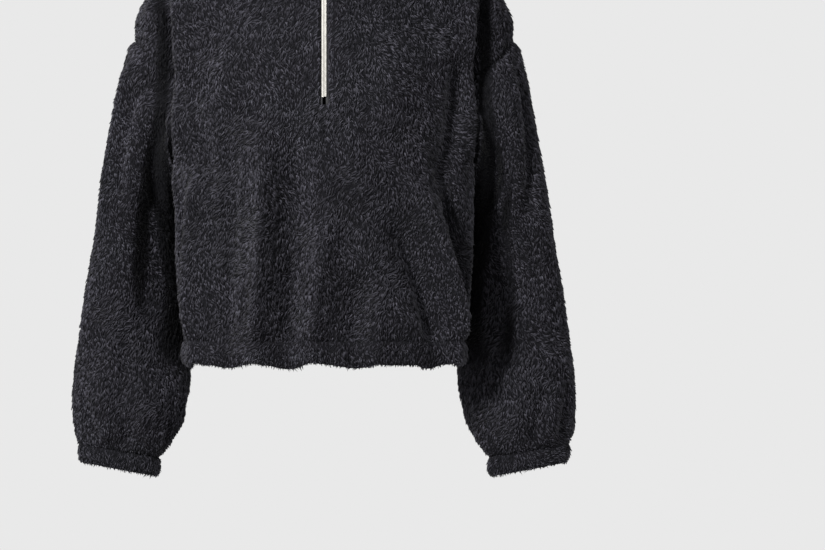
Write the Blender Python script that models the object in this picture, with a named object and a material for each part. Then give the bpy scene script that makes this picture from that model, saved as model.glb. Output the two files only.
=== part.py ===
"""A cropped half-zip teddy fleece, filled out as it is worn, with no wearer.

Every table below is in millimetres and is turned to metres when a mesh is made.
+X is the wearer's left, the front faces -Y and +Z is up.  The origin lies on the
middle line between the two high points of the shoulders, where a wearer carries it.
"""
import math

import bmesh
import bpy
import numpy as np
from mathutils import Vector

MM = 0.001

# Driving dimensions
WALL = 5.0              # cloth and its pile
SEAM_GAP = 0.3          # between two sewn pieces
BODY_LENGTH = 520.0     # high shoulder point to the bottom of the hem
HEM_HEIGHT = 27.0       # casing
NECK_HALF_WIDTH = 75.0
NECK_HALF_DEPTH = 70.0
NECK_MIDDLE_Y = -8.0
ZIP_LOW_Z = -211.0      # lowest tooth
SLIT_HALF_WIDTH = 5.0
SLIT_LOW_Z = -214.0
CUFF_HEIGHT = 21.0

# Armhole of the dropped shoulder, seen from the front
ARM_TOP_X = 219.0
ARM_TOP_Z = -144.0
ARM_LOW_X = 165.0
ARM_LOW_Z = -290.0
ARM_LOW_Y = -10.0
ARM_FRONT_DEPTH = 42.0
ARM_BACK_DEPTH = 50.0
ARM_FRONT_INSET = 27.0
ARM_BACK_INSET = 16.0

# Grid of the two panels
FRONT_COLUMNS = 26      # each side of the zip
BACK_COLUMNS = 28
SIDE_ROWS = 8
ARM_ROWS = 11
SHOULDER_ROWS = 5
SLIT_ROWS = 8           # rows above the bottom of the slit
SLIT_SHARE = 0.018      # share of the row that the slit takes
SLEEVE_ROWS = 19

HEM_SEAM_Z = -BODY_LENGTH + HEM_HEIGHT
FRONT_HALF_GIRTH = 227.0
BACK_HALF_GIRTH = 222.0


def columns(names, rows):
    """Turn the rows of a table into named columns."""
    return dict(zip(names.split(), np.array(rows, float).T))


# Level sections: how far the centre stands out, and the two pulls and the lean
# of the curve that runs from the centre to the seam at the side
FRONT = columns("z depth start_pull end_pull lean", [
    (6, 30, 38, 18, 0.00),
    (0, 38, 46, 22, 0.00),
    (-20, 56, 78, 33, 0.00),
    (-40, 66, 108, 40, 0.00),
    (-70, 79, 122, 48, 0.02),
    (-100, 95, 128, 55, 0.05),
    (-125, 106, 128, 56, 0.12),
    (-144, 113, 126, 52, 0.24),
    (-165, 118, 122, 44, 0.34),
    (-185, 121, 120, 38, 0.30),
    (-217, 125, 118, 42, 0.05),
    (-250, 126, 118, 46, -0.06),
    (-290, 126, 112, 62, -0.05),
    (-310, 126, 110, 66, 0.00),
    (-376, 124, 110, 66, 0.00),
    (-430, 121, 110, 64, 0.00),
    (-520, 117, 106, 62, 0.00),
])
BACK = columns("z depth start_pull end_pull lean", [
    (6, 42, 40, 20, 0.00),
    (0, 50, 48, 25, 0.00),
    (-20, 63, 78, 36, 0.00),
    (-45, 82, 108, 46, 0.00),
    (-80, 101, 120, 54, 0.00),
    (-120, 114, 122, 60, 0.05),
    (-144, 118, 120, 60, 0.08),
    (-165, 121, 115, 42, 0.25),
    (-185, 123, 112, 38, 0.20),
    (-217, 124, 110, 38, 0.00),
    (-250, 123, 108, 46, -0.10),
    (-290, 121, 104, 66, 0.00),
    (-310, 120, 98, 72, 0.00),
    (-376, 117, 94, 74, 0.00),
    (-430, 114, 94, 74, 0.00),
    (-520, 111, 96, 70, 0.00),
])

# Outline from the front: shoulder seam above the armhole, side seam below it
EDGE = columns("z x y", [
    (6, 62, 0),
    (0, 75, 0),
    (-12, 104, 0),
    (-38, 165, 0),
    (-65, 190, 0),
    (-99, 207, 0),
    (-127, 217, 0),
    (ARM_TOP_Z, ARM_TOP_X, 0),
    (ARM_LOW_Z, ARM_LOW_X, ARM_LOW_Y),
    (-302, 170, -13),
    (-320, 171.5, -15),
    (-376, 171.5, -15),
    (-431, 169, -15),
    (-462, 166.5, -15),
    (-480, 162.5, -15),
    (-520, 161.5, -15),
])

# Folds: round is measured from the centre line round the panel, plus to the
# wearer's left; a plus height is a ridge, a minus height a trough
FRONT_FOLDS = columns("round_top z_top round_low z_low half_width height bow", [
    (-86, -225, -103, -540, 13, 8.0, 7),
    (-48, -205, -58, -530, 20, -6.0, 3),
    (-4, -330, -27, -540, 13, 6.5, 2),
    (30, -400, 36, -540, 15, -5.0, 0),
    (76, -270, 178, -520, 13, 8.5, 6),
    (62, -330, 148, -530, 14, -6.5, 4),
    (136, -290, 196, -480, 13, -7.0, 3),
    (134, -150, 142, -320, 16, -6.0, 0),
    (199, -240, 198, -500, 12, 4.0, 0),
    (-199, -250, -197, -470, 12, 3.5, 2),
    (-132, -260, -172, -520, 14, 8.0, -5),
    (-150, -160, -128, -330, 16, -6.0, 4),
    (-190, -300, -196, -500, 13, -5.5, 3),
    (52, -120, 66, -260, 18, 3.5, 3),
])
BACK_FOLDS = columns("round_top z_top round_low z_low half_width height bow", [
    (-18, -210, -34, -540, 15, 6.5, 6),
    (28, -260, 40, -540, 18, -6.0, -4),
    (70, -230, 96, -530, 14, 7.5, -6),
    (-84, -250, -104, -540, 15, 7.5, 5),
    (-56, -240, -68, -520, 16, -5.5, 3),
    (124, -200, 140, -420, 15, -6.0, 3),
    (-140, -190, -150, -440, 15, -6.0, -4),
    (168, -280, 176, -500, 13, 3.5, 0),
    (-170, -300, -180, -510, 13, 3.5, 0),
])


# Crease in front of each arm: trough and the ridge beside it, placed by x
ARM_CREASE = columns("z trough_x trough_depth ridge_x ridge_height", [
    (-50, 203, 0, 188, 0),
    (-75, 201, 6, 185, 2),
    (-99, 199, 12, 181, 5),
    (-125, 195, 17, 177, 8),
    (-144, 192, 18, 174, 9),
    (-160, 191, 14, 172, 9),
    (-185, 190, 6, 171, 6),
    (-217, 186, 0, 170, 3),
    (-260, 182, 0, 169, 2),
    (-300, 180, 0, 168, 0),
])
TROUGH_HALF_WIDTH = 10.0
RIDGE_HALF_WIDTH = 12.0


def smooth(at, knots, values):
    """Cubic through a table's values that never swings past them; knots fall or rise."""
    order = np.argsort(knots)
    knots = np.asarray(knots, float)[order]
    values = np.asarray(values, float)[order]
    gaps = np.diff(knots)
    slopes = np.diff(values) / gaps
    tangents = np.zeros_like(values)
    tangents[0] = slopes[0]
    tangents[-1] = slopes[-1]
    same = slopes[:-1] * slopes[1:] > 0
    total = np.where(same, slopes[:-1] + slopes[1:], 1.0)
    tangents[1:-1] = np.where(same, 2 * slopes[:-1] * slopes[1:] / total, 0.0)
    at = np.clip(at, knots[0], knots[-1])
    cell = np.clip(np.searchsorted(knots, at, side="right") - 1, 0, len(gaps) - 1)
    gap = gaps[cell]
    t = (at - knots[cell]) / gap
    rise = values[cell] * (2 * t**3 - 3 * t**2 + 1) + values[cell + 1] * (3 * t**2 - 2 * t**3)
    bend = tangents[cell] * (t**3 - 2 * t**2 + t) + tangents[cell + 1] * (t**3 - t**2)
    return rise + bend * gap


def ease(t):
    """0 to 1 with level ends."""
    t = np.clip(t, 0, 1)
    return t * t * (3 - 2 * t)


def unit(vectors):
    """Vectors made one long."""
    return vectors / np.maximum(np.linalg.norm(vectors, axis=-1, keepdims=True), 1e-9)


def edge_of_body(height, front):
    """Where the row at a height ends: on the shoulder seam, the armhole or the side seam."""
    x = smooth(height, EDGE["z"], EDGE["x"])
    y = smooth(height, EDGE["z"], EDGE["y"])
    middle = (ARM_TOP_Z + ARM_LOW_Z) / 2
    half = (ARM_TOP_Z - ARM_LOW_Z) / 2
    turn = np.arccos(np.clip((height - middle) / half, -1, 1))
    share = (height - ARM_LOW_Z) / (2 * half)
    open_side = (height < ARM_TOP_Z) & (height > ARM_LOW_Z)
    inset = ARM_FRONT_INSET if front else ARM_BACK_INSET
    depth = -ARM_FRONT_DEPTH if front else ARM_BACK_DEPTH
    arm_x = ARM_LOW_X + (ARM_TOP_X - ARM_LOW_X) * share - inset * share * np.sin(turn)
    arm_y = ARM_LOW_Y * (1 - share) + depth * np.sin(turn)
    return np.where(open_side, arm_x, x), np.where(open_side, arm_y, y)


def fold_height(folds, around, height):
    """Sum of the folds: each is a soft bell across a bowed line, and fades at its ends."""
    total = np.zeros(np.broadcast(around, height).shape)
    for k in range(len(folds["height"])):
        top = folds["z_top"][k]
        low = folds["z_low"][k]
        along = (top - height) / (top - low)
        line = folds["round_top"][k] + (folds["round_low"][k] - folds["round_top"][k]) * along
        line = line + folds["bow"][k] * np.sin(math.pi * np.clip(along, 0, 1))
        across = np.exp(-((around - line) / folds["half_width"][k]) ** 2)
        total = total + folds["height"][k] * across * ease(along / 0.3) * ease((1 - along) / 0.12)
    return total


def arm_crease(x, height):
    """Lift of the crease in front of the arm, where the hanging sleeve folds the chest in."""
    names = ("trough_x", "trough_depth", "ridge_x", "ridge_height")
    trough_x, depth, ridge_x, rise = (
        smooth(height, ARM_CREASE["z"], ARM_CREASE[name]) for name in names)
    trough = -depth * np.exp(-((x - trough_x) / TROUGH_HALF_WIDTH) ** 2)
    return trough + rise * np.exp(-((x - ridge_x) / RIDGE_HALF_WIDTH) ** 2)


def body_surface(share, height, front, folded=True):
    """Outer skin of a panel.

    share runs from -1 at the wearer's right seam to 1 at the left one.  A row is one
    cubic from the centre to its seam; the folds move it along its own normal.
    """
    table = FRONT if front else BACK
    depth = smooth(height, table["z"], table["depth"])
    start_pull = smooth(height, table["z"], table["start_pull"])
    end_pull = smooth(height, table["z"], table["end_pull"])
    lean = smooth(height, table["z"], table["lean"])
    edge_x, edge_y = edge_of_body(height, front)
    face = -1.0 if front else 1.0
    s = np.abs(share)
    t = 0.78 * (s - 2 * s**2 + s**3) + (3 * s**2 - 2 * s**3) + 1.1 * (s**3 - s**2)
    length = np.sqrt(1 + lean**2)
    pull_x = edge_x - end_pull * lean / length
    pull_y = edge_y + face * end_pull / length
    b1 = 3 * t * (1 - t)**2
    b2 = 3 * t**2 * (1 - t)
    x = b1 * start_pull + b2 * pull_x + t**3 * edge_x
    y = ((1 - t)**3 + b1) * face * depth + b2 * pull_y + t**3 * edge_y
    dx = 3 * ((1 - t)**2 * start_pull + 2 * t * (1 - t) * (pull_x - start_pull) + t**2 * (edge_x - pull_x))
    dy = 3 * (2 * t * (1 - t) * (pull_y - face * depth) + t**2 * (edge_y - pull_y))
    size = np.sqrt(dx**2 + dy**2)
    if folded:
        girth = FRONT_HALF_GIRTH if front else BACK_HALF_GIRTH
        folds = FRONT_FOLDS if front else BACK_FOLDS
        lift = fold_height(folds, share * girth, height)
        if front:
            lift = lift + arm_crease(x, height)
        lift = lift * ease((1 - s) / 0.08)
        lift = lift * ease((height - HEM_SEAM_Z + 14) / 30)
        x = x - face * dy / size * lift
        y = y + face * dx / size * lift
    return np.stack([np.where(share < 0, -x, x), y, height + 0 * x], axis=-1)


# Sleeve, seen from the front: its outer and inner line, the middle of its depth, half
# its depth, and how far in degrees its section leans, so that its inner side faces the
# body; along is measured down the outer line from the shoulder
SLEEVE = columns("along outer_x outer_z inner_x inner_z middle_y half_depth lean", [
    (0, 219, -144, 165, -290, -5, 44, 0),
    (10, 225, -152, 167, -297, 2, 56, 2),
    (31, 231, -172, 168, -305, 9, 61, 8),
    (70, 238.5, -210, 168, -318, 22, 64, 18),
    (126, 248.5, -265, 166, -340, 38, 64, 26),
    (182, 258.8, -320, 162, -374, 52, 62, 28),
    (238, 266.8, -375, 157, -412, 60, 60, 28),
    (294, 276, -430, 154, -452, 65, 59, 26),
    (349, 283, -485, 153, -499, 66, 58, 22),
    (394, 288, -530, 153.5, -540, 64, 58, 16),
    (432, 290, -568, 159, -574, 60, 56, 8),
    (456, 288.5, -592, 167, -596, 57, 51, 3),
    (468, 286, -604, 176, -611, 54, 43, 0),
    (478, 284, -613, 189, -628.5, 52, 33, 0),
])
SLEEVE_LENGTH = 478.0
HEAD_EASE = 45.0        # where the head leaves the armhole's own line
CUFF_DOWN = Vector((-0.03, -0.05, -1.0)).normalized()

# Sleeve folds by turn in degrees, from the shoulder round by the front
LEFT_SLEEVE_FOLDS = columns("turn_top along_top turn_low along_low half_width height", [
    (44, -20, 68, 190, 12, 6.5),
    (22, -10, 48, 210, 11, -6.5),
    (100, 60, 92, 260, 16, -5.5),
    (132, 130, 124, 380, 18, -6.0),
    (112, 300, 96, 500, 13, 5.0),
    (78, 400, 84, 520, 10, -6.0),
    (60, 390, 62, 520, 10, 5.0),
    (44, 395, 44, 520, 9, -4.5),
    (238, 70, 222, 330, 18, 5.5),
    (276, -20, 300, 230, 15, -6.0),
    (318, 20, 322, 300, 16, 4.5),
    (262, 330, 250, 520, 15, -5.5),
])
RIGHT_SLEEVE_FOLDS = columns("turn_top along_top turn_low along_low half_width height", [
    (36, -20, 60, 240, 13, 6.0),
    (60, -10, 84, 200, 12, -6.0),
    (106, 90, 98, 300, 17, 5.0),
    (136, 110, 126, 350, 16, -6.0),
    (104, 320, 90, 520, 13, -5.0),
    (70, 380, 70, 520, 11, 5.5),
    (50, 410, 54, 520, 9, -5.0),
    (232, 60, 228, 360, 18, 5.5),
    (270, -10, 290, 260, 15, -5.5),
    (322, 30, 316, 280, 16, 4.5),
    (256, 300, 262, 520, 14, -5.5),
])

# Rounded sections of the two bands: out from the cloth's outer face, and down
HEM_PROFILE = columns("out down", [
    (0.0, 0.0), (2.4, 6.0), (2.8, 17.0), (1.2, 24.0),
    (-3.0, HEM_HEIGHT), (-7.0, 23.5), (-7.0, 6.0), (-WALL, 0.0),
])
CUFF_PROFILE = columns("out down", [
    (0.0, 0.0), (1.8, 4.5), (1.8, 14.0), (0.4, 19.5),
    (-3.0, CUFF_HEIGHT), (-6.4, 18.0), (-6.6, 5.0), (-WALL, 0.0),
])


def grid_normals(points, wrap=False):
    """Outward normals of a grid whose columns run round and whose rows run on."""
    if wrap:
        along = np.roll(points, -1, axis=1) - np.roll(points, 1, axis=1)
    else:
        along = np.gradient(points, axis=1)
    return unit(np.cross(along, np.gradient(points, axis=0)))


def neckline_height(share, front):
    """Height at which each column of a panel meets the upright ellipse of the neck."""
    low = np.full_like(share, -110.0)
    high = np.full_like(share, 6.0)
    for _ in range(40):
        middle = (low + high) / 2
        point = body_surface(share, middle, front, folded=False)
        radius = (point[..., 0] / NECK_HALF_WIDTH) ** 2
        radius = radius + ((point[..., 1] - NECK_MIDDLE_Y) / NECK_HALF_DEPTH) ** 2
        outside = radius > 1
        low = np.where(outside, middle, low)
        high = np.where(outside, high, middle)
    return (low + high) / 2


def row_fractions(centre, edge, bottom, top_centre, top_edge):
    """Turn the heights of the rows at the centre and at the edge into shares of a column."""
    return (centre - bottom) / (top_centre - bottom), (edge - bottom) / (top_edge - bottom)


def edge_heights(top):
    """Heights of the rows on the side seam, the armhole and the shoulder seam."""
    middle = (ARM_TOP_Z + ARM_LOW_Z) / 2
    half = (ARM_TOP_Z - ARM_LOW_Z) / 2
    side = np.linspace(HEM_SEAM_Z, ARM_LOW_Z, SIDE_ROWS + 1)
    arm = middle - half * np.cos(np.linspace(0, math.pi, ARM_ROWS + 1))
    shoulder = np.linspace(ARM_TOP_Z, top, SHOULDER_ROWS + 1)
    return np.concatenate([side, arm[1:], shoulder[1:]])


def panel_grid(front):
    """Outer points of a panel: rows from the hem up, columns round the body."""
    if front:
        half = np.linspace(SLIT_SHARE, 1, FRONT_COLUMNS + 1)
        share = np.concatenate([-half[::-1], half])
    else:
        share = np.linspace(1, -1, BACK_COLUMNS + 1)
    neck = neckline_height(share, front)
    count = SIDE_ROWS + ARM_ROWS + SHOULDER_ROWS
    neck_centre = neckline_height(np.zeros(1), front)[0]
    neck_edge = neckline_height(np.ones(1), front)[0]
    if front:
        above = SLIT_ROWS
        centre = np.concatenate([
            np.linspace(HEM_SEAM_Z, SLIT_LOW_Z, count - above + 1),
            np.linspace(SLIT_LOW_Z, neck_centre, above + 1)[1:]])
    else:
        centre = np.linspace(HEM_SEAM_Z, neck_centre, count + 1)
    at_centre, at_edge = row_fractions(centre, edge_heights(neck_edge), HEM_SEAM_Z, neck_centre, neck_edge)
    s = np.abs(share)[None, :]
    fraction = at_centre[:, None] * (1 - s) + at_edge[:, None] * s
    height = HEM_SEAM_Z + fraction * (neck[None, :] - HEM_SEAM_Z)
    points = body_surface(np.broadcast_to(share, height.shape), height, front)
    if front:
        middle = FRONT_COLUMNS
        points[:, middle, 0] = -SLIT_HALF_WIDTH
        points[:, middle + 1, 0] = SLIT_HALF_WIDTH
    return points


def slit_row():
    """Row of the front at the bottom of the zip's slit."""
    return SIDE_ROWS + ARM_ROWS + SHOULDER_ROWS - SLIT_ROWS


def join_normals(front, back):
    """Give the two panels the same normal where their seams meet."""
    rows = front.shape[0]
    low = SIDE_ROWS
    top = SIDE_ROWS + ARM_ROWS
    shared = [i for i in range(rows) if i <= low or i >= top]
    for front_column, back_column in ((-1, 0), (0, -1)):
        both = unit(front[shared, front_column] + back[shared, back_column])
        front[shared, front_column] = both
        back[shared, back_column] = both


def arm_ring(front, back, side):
    """Values round an armhole, from the shoulder down the front and up the back."""
    low = SIDE_ROWS
    top = SIDE_ROWS + ARM_ROWS
    front_column, back_column = (-1, 0) if side > 0 else (0, -1)
    down = front[low:top + 1, front_column][::-1]
    up = back[low:top + 1, back_column]
    ring = np.concatenate([down, up[1:-1]])
    ring[0] = (down[0] + up[-1]) / 2
    ring[ARM_ROWS] = (down[-1] + up[0]) / 2
    return ring


def sleeve_surface(loop, turn, along, side, folds):
    """Tube from the armhole's loop to the cuff seam; turn runs round it from the shoulder."""
    values = {name: smooth(along, SLEEVE["along"], SLEEVE[name]) for name in SLEEVE}
    middle_x = (values["outer_x"] + values["inner_x"]) / 2
    middle_z = (values["outer_z"] + values["inner_z"]) / 2
    reach_x = (values["outer_x"] - values["inner_x"]) / 2
    reach_z = (values["outer_z"] - values["inner_z"]) / 2
    across = np.cos(turn - np.radians(values["lean"]))
    points = np.stack([
        side * (middle_x + reach_x * across),
        values["middle_y"] - values["half_depth"] * np.sin(turn),
        middle_z + reach_z * across], axis=-1)
    stay = 1 - ease(along / HEAD_EASE)
    points = points + (loop[None, :, :] - points[:1]) * stay[..., None]
    normals = side * grid_normals(points, wrap=True)
    degrees = np.degrees(turn)
    lift = 0.0 * along
    for k in range(len(folds["height"])):
        start = folds["along_top"][k]
        end = folds["along_low"][k]
        share = (along - start) / (end - start)
        line = folds["turn_top"][k] + (folds["turn_low"][k] - folds["turn_top"][k]) * share
        away = (degrees - line + 180) % 360 - 180
        bell = np.exp(-(away / folds["half_width"][k]) ** 2)
        lift = lift + folds["height"][k] * bell * ease(share / 0.25) * ease((1 - share) / 0.25)
    lift = lift * ease(along / 14) * ease((SLEEVE_LENGTH - along) / 16)
    return points + normals * lift[..., None]


def sleeve_rows():
    """Distances along the sleeve, closer at its head and at the cuff."""
    t = np.linspace(0, 1, SLEEVE_ROWS + 1)
    return SLEEVE_LENGTH * (t - 0.07 * np.sin(2 * math.pi * t))


def tidy_mesh(name, verts, faces, material):
    """Make one closed object from points in millimetres, with its faces outward."""
    mesh = bpy.data.meshes.new(name)
    work = bmesh.new()
    made = [work.verts.new(Vector(point) * MM) for point in verts]
    for face in faces:
        work.faces.new([made[k] for k in face])
    loose = [vert for vert in work.verts if not vert.link_faces]
    bmesh.ops.delete(work, geom=loose, context="VERTS")
    bmesh.ops.recalc_face_normals(work, faces=work.faces)
    work.to_mesh(mesh)
    work.free()
    mesh.materials.append(material)
    mesh.shade_smooth()
    mesh.set_sharp_from_angle(angle=math.radians(50))
    made_object = bpy.data.objects.new(name, mesh)
    bpy.context.scene.collection.objects.link(made_object)
    return made_object


def wall(name, outer, inner, material, cells=None, wrap=False):
    """Closed wall between two grids of points, with a rim along every open edge."""
    rows, count = outer.shape[:2]
    last = count if wrap else count - 1
    if cells is None:
        cells = np.ones((rows - 1, last), bool)
    quads = []
    for i in range(rows - 1):
        for j in range(last):
            if cells[i, j]:
                k = (j + 1) % count
                quads.append((i * count + j, i * count + k, (i + 1) * count + k, (i + 1) * count + j))
    layer = rows * count
    edges = {(quad[a], quad[(a + 1) % 4]) for quad in quads for a in range(4)}
    faces = list(quads)
    faces += [tuple(layer + k for k in reversed(quad)) for quad in quads]
    verts = np.concatenate([outer.reshape(-1, 3), inner.reshape(-1, 3)])
    for a, b in sorted(edges):
        if (b, a) in edges:
            continue
        # Both pieces at a seam split their rims from the lower outer point
        if verts[a, 2] < verts[b, 2]:
            faces += [(b, a, layer + b), (a, layer + a, layer + b)]
        else:
            faces += [(b, a, layer + a), (b, layer + a, layer + b)]
    return tidy_mesh(name, verts, faces, material)


def rings_solid(name, rings, material, closed):
    """Solid through a row of closed rings; it is capped unless the row closes on itself."""
    count, size = rings.shape[:2]
    last = count if closed else count - 1
    faces = []
    for i in range(last):
        for j in range(size):
            k = (j + 1) % size
            n = (i + 1) % count
            faces.append((i * size + j, i * size + k, n * size + k, n * size + j))
    if not closed:
        faces.append(tuple(range(size))[::-1])
        faces.append(tuple((count - 1) * size + j for j in range(size)))
    return tidy_mesh(name, rings.reshape(-1, 3), faces, material)


def band(name, base, out, down, profile, material):
    """Band sewn to a ring of points: its profile is carried round it."""
    start = base + down * SEAM_GAP
    reach = profile["out"][None, :, None] * out[:, None, :]
    drop = profile["down"][None, :, None] * (1 - SEAM_GAP / profile["down"].max()) * down
    return rings_solid(name, start[:, None, :] + reach + drop, material, closed=True)


def material(name, colour, roughness, metallic=0.0):
    """Principled material from a linear colour."""
    made = bpy.data.materials.new(name)
    made.use_nodes = True
    shader = made.node_tree.nodes["Principled BSDF"]
    shader.inputs["Base Color"].default_value = (*colour, 1.0)
    shader.inputs["Roughness"].default_value = roughness
    shader.inputs["Metallic"].default_value = metallic
    return made


# Stand collar: height of its top edge above the zip's top, by turn from the front
COLLAR_TOP = columns("turn z", [(0, 4), (14, 5.5), (42, 20), (90, 47), (140, 51), (180, 47)])
COLLAR_TOP_HALF_WIDTH = 72.0
COLLAR_TOP_HALF_DEPTH = 65.0
COLLAR_ROWS = 3

# Zip: depths are measured inward from the cloth's outer face, and rises from the
# collar's edge along the zip
TAPE_DEPTH = WALL + 0.4
TAPE_THICK = 0.8
TAPE_INNER_X = 2.0
CHAIN_HALF_WIDTH = 3.0
CHAIN_FRONT_DEPTH = 2.5
CHAIN_CHAMFER = 0.9
SLIDER_HALF_WIDTH = 4.6
SLIDER_TOP = 1.0        # below the collar's edge
SLIDER_LENGTH = 12.0
POST_HALF_WIDTH = 1.5
POST_LENGTH = 3.5
POST_SETBACK = 0.4
PLATE_FRONT_DEPTH = (1.0, 2.2)
PLATE_BACK_DEPTH = (6.6, 7.8)
ARCH_HALF_WIDTH = 1.1
ARCH_FOOT = 0.5         # sunk in the front plate
ARCH_OUTLINE = columns("rise out", [
    (-11.6, 1.2), (-10.7, 2.1), (-3.3, 2.1), (-2.4, 1.2)])
ARCH_HOLE = columns("rise out", [(-3.9, 1.1), (-10.1, 1.1)])
PULL_AXIS_RISE = -7.0
PULL_AXIS_OUT = 0.05
PULL_LENGTH = 26.0
PULL_HALF_WIDTH = 3.4
PULL_CORNER = 1.4
BAR_HALF = 0.6
SLOT_HALF_WIDTH = 1.6   # slot at the top of the pull, through which the slider's arch passes
SLOT_LENGTH = 7.6
SLOT_TOP_CORNER = 0.3
SLOT_LOW_CORNER = 0.8


def make_zip_pieces(path, normal, tape_grids, metal, cloth, teeth):
    """Tapes, chain, slider and pull along the front edge of the slit and the collar."""
    for side, (face, out) in tape_grids.items():
        front = face - out * TAPE_DEPTH
        reach = front[:, 1] - front[:, 0]
        share = (TAPE_INNER_X * side - front[:, 0, 0]) / reach[:, 0]
        inner_edge = front[:, 0] + reach * share[:, None]
        outer_face = np.stack([inner_edge, front[:, 0], front[:, 1]], axis=1)
        push = np.stack([out[:, 0], out[:, 0], out[:, 1]], axis=1)
        name = "zip_tape_left" if side > 0 else "zip_tape_right"
        wall(name, outer_face, outer_face - push * TAPE_THICK, cloth)

    distance = np.concatenate([[0], np.cumsum(np.linalg.norm(np.diff(path, axis=0), axis=1))])
    top = distance[-1]
    low = np.interp(ZIP_LOW_Z, path[:, 2], distance)
    high = top - SLIDER_TOP - POST_LENGTH - SEAM_GAP
    inside = distance[(distance > low + 1) & (distance < high - 1)]
    stations = np.concatenate([[low], inside, [high]])
    centre = np.stack([np.interp(stations, distance, path[:, k]) for k in range(3)], axis=1)
    outward = unit(np.stack([np.interp(stations, distance, normal[:, k]) for k in range(3)], axis=1))
    back = TAPE_DEPTH - 2 * SEAM_GAP
    shoulder = CHAIN_FRONT_DEPTH + CHAIN_CHAMFER
    flat = CHAIN_HALF_WIDTH - CHAIN_CHAMFER
    section = [(-CHAIN_HALF_WIDTH, back), (-CHAIN_HALF_WIDTH, shoulder), (-flat, CHAIN_FRONT_DEPTH),
               (flat, CHAIN_FRONT_DEPTH), (CHAIN_HALF_WIDTH, shoulder), (CHAIN_HALF_WIDTH, back)]
    rings = np.stack([centre - outward * depth + np.array([x, 0, 0]) for x, depth in section], axis=1)
    rings_solid("zip_chain", rings, teeth, closed=False)

    up = unit(path[-1] - path[-2])
    out = unit(np.cross(np.array([1.0, 0, 0]), up))
    top_point = path[-1]

    def place(x, outward_by, up_by):
        """Point in the slider's own frame."""
        return top_point + np.array([x, 0, 0]) + out * outward_by + up * up_by

    def level(half_width, low_up, high_up, outward_by):
        """One rectangle of the slider, square to the zip."""
        corners = ((-half_width, low_up), (half_width, low_up), (half_width, high_up), (-half_width, high_up))
        return [place(x, outward_by, rise) for x, rise in corners]

    end = -SLIDER_TOP
    start = end - SLIDER_LENGTH
    post_low = end - POST_LENGTH
    post_high = end - POST_SETBACK
    rings = np.array([
        level(SLIDER_HALF_WIDTH, start, end, -PLATE_BACK_DEPTH[1]),
        level(SLIDER_HALF_WIDTH, start, end, -PLATE_BACK_DEPTH[0]),
        level(POST_HALF_WIDTH, post_low, post_high, -PLATE_BACK_DEPTH[0]),
        level(POST_HALF_WIDTH, post_low, post_high, -PLATE_FRONT_DEPTH[1]),
        level(SLIDER_HALF_WIDTH, start, end, -PLATE_FRONT_DEPTH[1]),
        level(SLIDER_HALF_WIDTH, start, end, -PLATE_FRONT_DEPTH[0]),
    ])
    slider = rings_solid("zip_slider", rings, metal, closed=False)

    foot = -PLATE_FRONT_DEPTH[0] - ARCH_FOOT
    over = list(zip(ARCH_OUTLINE["rise"], ARCH_OUTLINE["out"]))
    under = list(zip(ARCH_HOLE["rise"], ARCH_HOLE["out"]))
    outline = [(over[0][0], foot), *over, (over[-1][0], foot), (under[0][0], foot), *under, (under[-1][0], foot)]
    rings = np.array([[place(x, outward_by, rise) for rise, outward_by in outline]
                      for x in (-ARCH_HALF_WIDTH, ARCH_HALF_WIDTH)])
    arch = rings_solid("zip_arch_guide", rings, metal, closed=False)
    arch.hide_render = True
    arch.display_type = "WIRE"
    union = slider.modifiers.new("arch", "BOOLEAN")
    union.operation = "UNION"
    union.solver = "EXACT"
    union.object = arch

    hinge = place(0, PULL_AXIS_OUT, PULL_AXIS_RISE)
    corner = PULL_CORNER
    half = PULL_HALF_WIDTH
    low_up = -PULL_LENGTH
    outer = [(-half + corner, BAR_HALF), (half - corner, BAR_HALF), (half, BAR_HALF - corner),
             (half, low_up + corner), (half - corner, low_up), (-half + corner, low_up),
             (-half, low_up + corner), (-half, BAR_HALF - corner)]
    slot = SLOT_HALF_WIDTH
    high = -BAR_HALF
    low = high - SLOT_LENGTH
    top_corner = SLOT_TOP_CORNER
    low_corner = SLOT_LOW_CORNER
    hole = [(-slot + top_corner, high), (slot - top_corner, high), (slot, high - top_corner),
            (slot, low + low_corner), (slot - low_corner, low), (-slot + low_corner, low),
            (-slot, low + low_corner), (-slot, high - top_corner)]
    rings = []
    for (x, rise), (hole_x, hole_rise) in zip(outer, hole):
        rings.append([
            np.array([x, 0, 0]) + up * rise + out * BAR_HALF,
            np.array([x, 0, 0]) + up * rise - out * BAR_HALF,
            np.array([hole_x, 0, 0]) + up * hole_rise - out * BAR_HALF,
            np.array([hole_x, 0, 0]) + up * hole_rise + out * BAR_HALF])
    pull = rings_solid("zip_pull", np.array(rings), metal, closed=True)
    pull.location = Vector(hinge) * MM


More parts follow.
